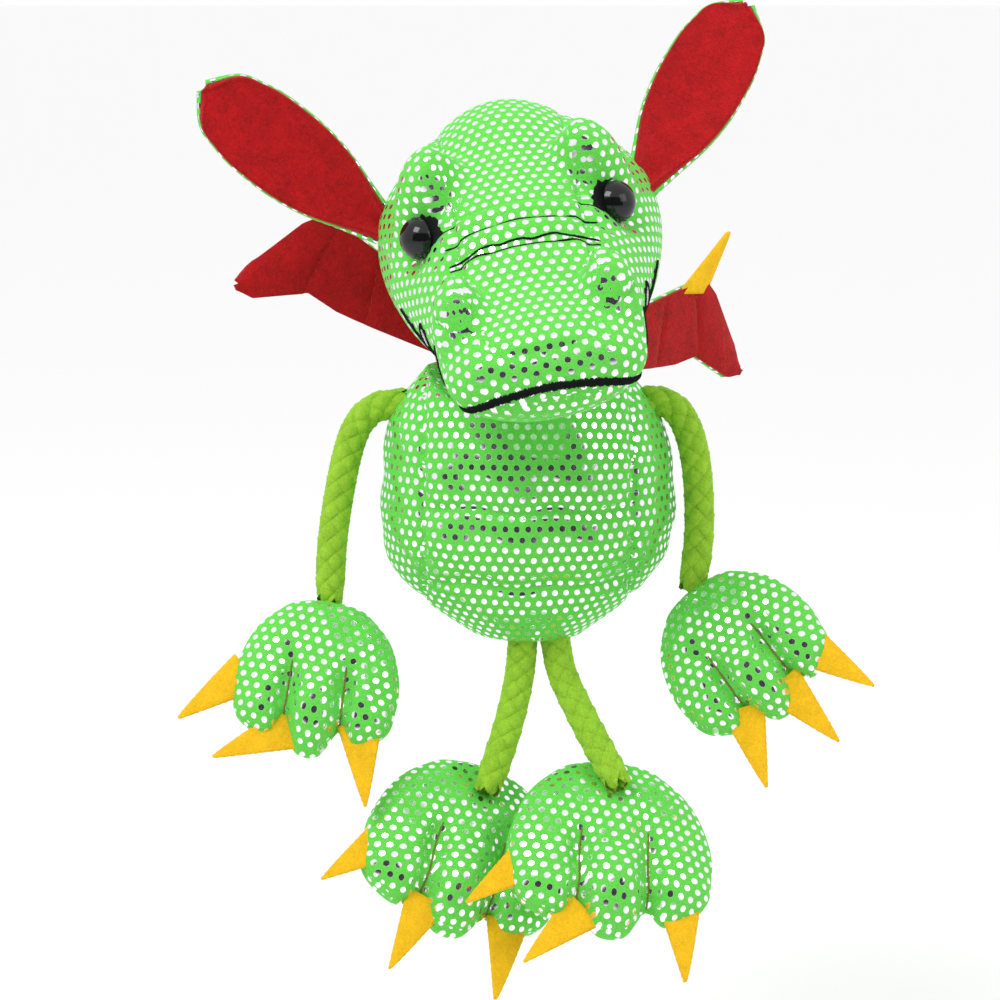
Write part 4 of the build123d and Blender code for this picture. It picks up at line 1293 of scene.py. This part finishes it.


# %% Limbs
cord_tuck = 3.5         # how far each cord runs on inside the body's cloth
for name, (points, bend_after) in limbs.items():
    leaving = (np.array(points[1]) - np.array(points[0]))
    if name.startswith("arm"):
        leaving[2] = 0
    inner = np.array(points[0]) - leaving / np.linalg.norm(leaving) * cord_tuck
    piece, middle = braid(name, [tuple(inner)] + points)
    run = np.array(points[bend_after + 1]) - np.array(points[bend_after])
    run /= np.linalg.norm(run)
    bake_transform(piece)
    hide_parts(f"{name}_upper_cord", f"{name}_lower_cord")
    length = float(np.sum(np.linalg.norm(np.diff(middle, axis=0), axis=1)))
    print(name, "cord length", round(length, 4))

# %% [markdown]
# ## CAD parts that stay as they are
# The eyes are moulded plastic domes, and their washers, the finger sleeve and its hem are plain round parts.
# The CAD's shapes are already right for these, and for the neck inside the cloth, so they take a finish only.

# %% Finishes on CAD parts
kept_looks = {"eye_left": black_plastic, "eye_right": black_plastic, "eye_washers": white_plastic,
              "finger_sleeve": lining, "sleeve_hem": lining, "neck_cloth": lining,
              "neck_stuffing": white_thread}
for label, look in kept_looks.items():
    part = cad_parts[label]
    part.data.materials.clear()
    part.data.materials.append(look)
print("kept", list(kept_looks))

# %% [markdown]
# ## Light, floor and camera
# Foil looks like whatever it faces. In a plain white room every dot would be white, so a dark card stands
# behind the camera, unseen by it, and the foil that faces the camera turns dark, as it does in a real room.
# The light itself is soft and comes from above.

# %% Floor and dark card
floor_z = -0.125
stage_sheets = (
    # its name, how far its form reaches from the middle, and its colour and roughness
    ("floor", 40.0, (0.95, 0.95, 0.95, 1), 0.9),
    ("dark_card", 0.5, (0.03, 0.03, 0.035, 1), 1.0),
)
staged = []
for name, size, colour, roughness in stage_sheets:
    form = bmesh.new()
    bmesh.ops.create_grid(form, x_segments=1, y_segments=1, size=size)
    mesh = bpy.data.meshes.new(name)
    form.to_mesh(mesh)
    form.free()
    paper = "pale_floor" if name == "floor" else name
    mesh.materials.append(material(paper, None, {}, {"Base Color": colour, "Roughness": roughness}))
    staged.append(bpy.data.objects.new(name, mesh))
    bpy.context.collection.objects.link(staged[-1])
floor, card = staged
floor.location = (0, 0, floor_z)
card.location = (-0.007, -0.95, 0.02)
card.rotation_euler = (math.radians(90), 0, 0)
card.scale = (2.0, 1.25, 1)
card.visible_camera = False

# %% Light
world = bpy.data.worlds.new("white_room")
bpy.context.scene.world = world
world.use_nodes = True
sky = world.node_tree.nodes["Background"]
sky.inputs["Color"].default_value = (1.0, 1.0, 1.0, 1)
sky.inputs["Strength"].default_value = 1.0


light_aim = (0, 0, 0.03)


def area_light(name, place, size, power):
    """A soft square light that faces the puppet."""
    data = bpy.data.lights.new(name, "AREA")
    data.size = size
    data.energy = power
    lamp = bpy.data.objects.new(name, data)
    lamp.location = place
    lamp.rotation_euler = (Vector(light_aim) - Vector(place)).to_track_quat("-Z", "Y").to_euler()
    bpy.context.collection.objects.link(lamp)


area_light("key_light", (-0.35, -0.45, 0.65), 0.35, 3.2)
area_light("fill_light", (0.5, -0.4, 0.35), 0.4, 0.8)

# %% Camera
camera_aim = Vector((-0.007, -0.010, 0.026))
camera_data = bpy.data.cameras.new("camera")
camera_data.lens = 104.8
camera_data.sensor_width = 36.0
camera = bpy.data.objects.new("camera", camera_data)
camera.location = (-0.007, -0.6206, 0.1337)
camera.rotation_euler = (camera_aim - camera.location).to_track_quat("-Z", "Y").to_euler()
bpy.context.collection.objects.link(camera)
bpy.context.scene.camera = camera
bpy.context.scene.view_settings.view_transform = "Standard"
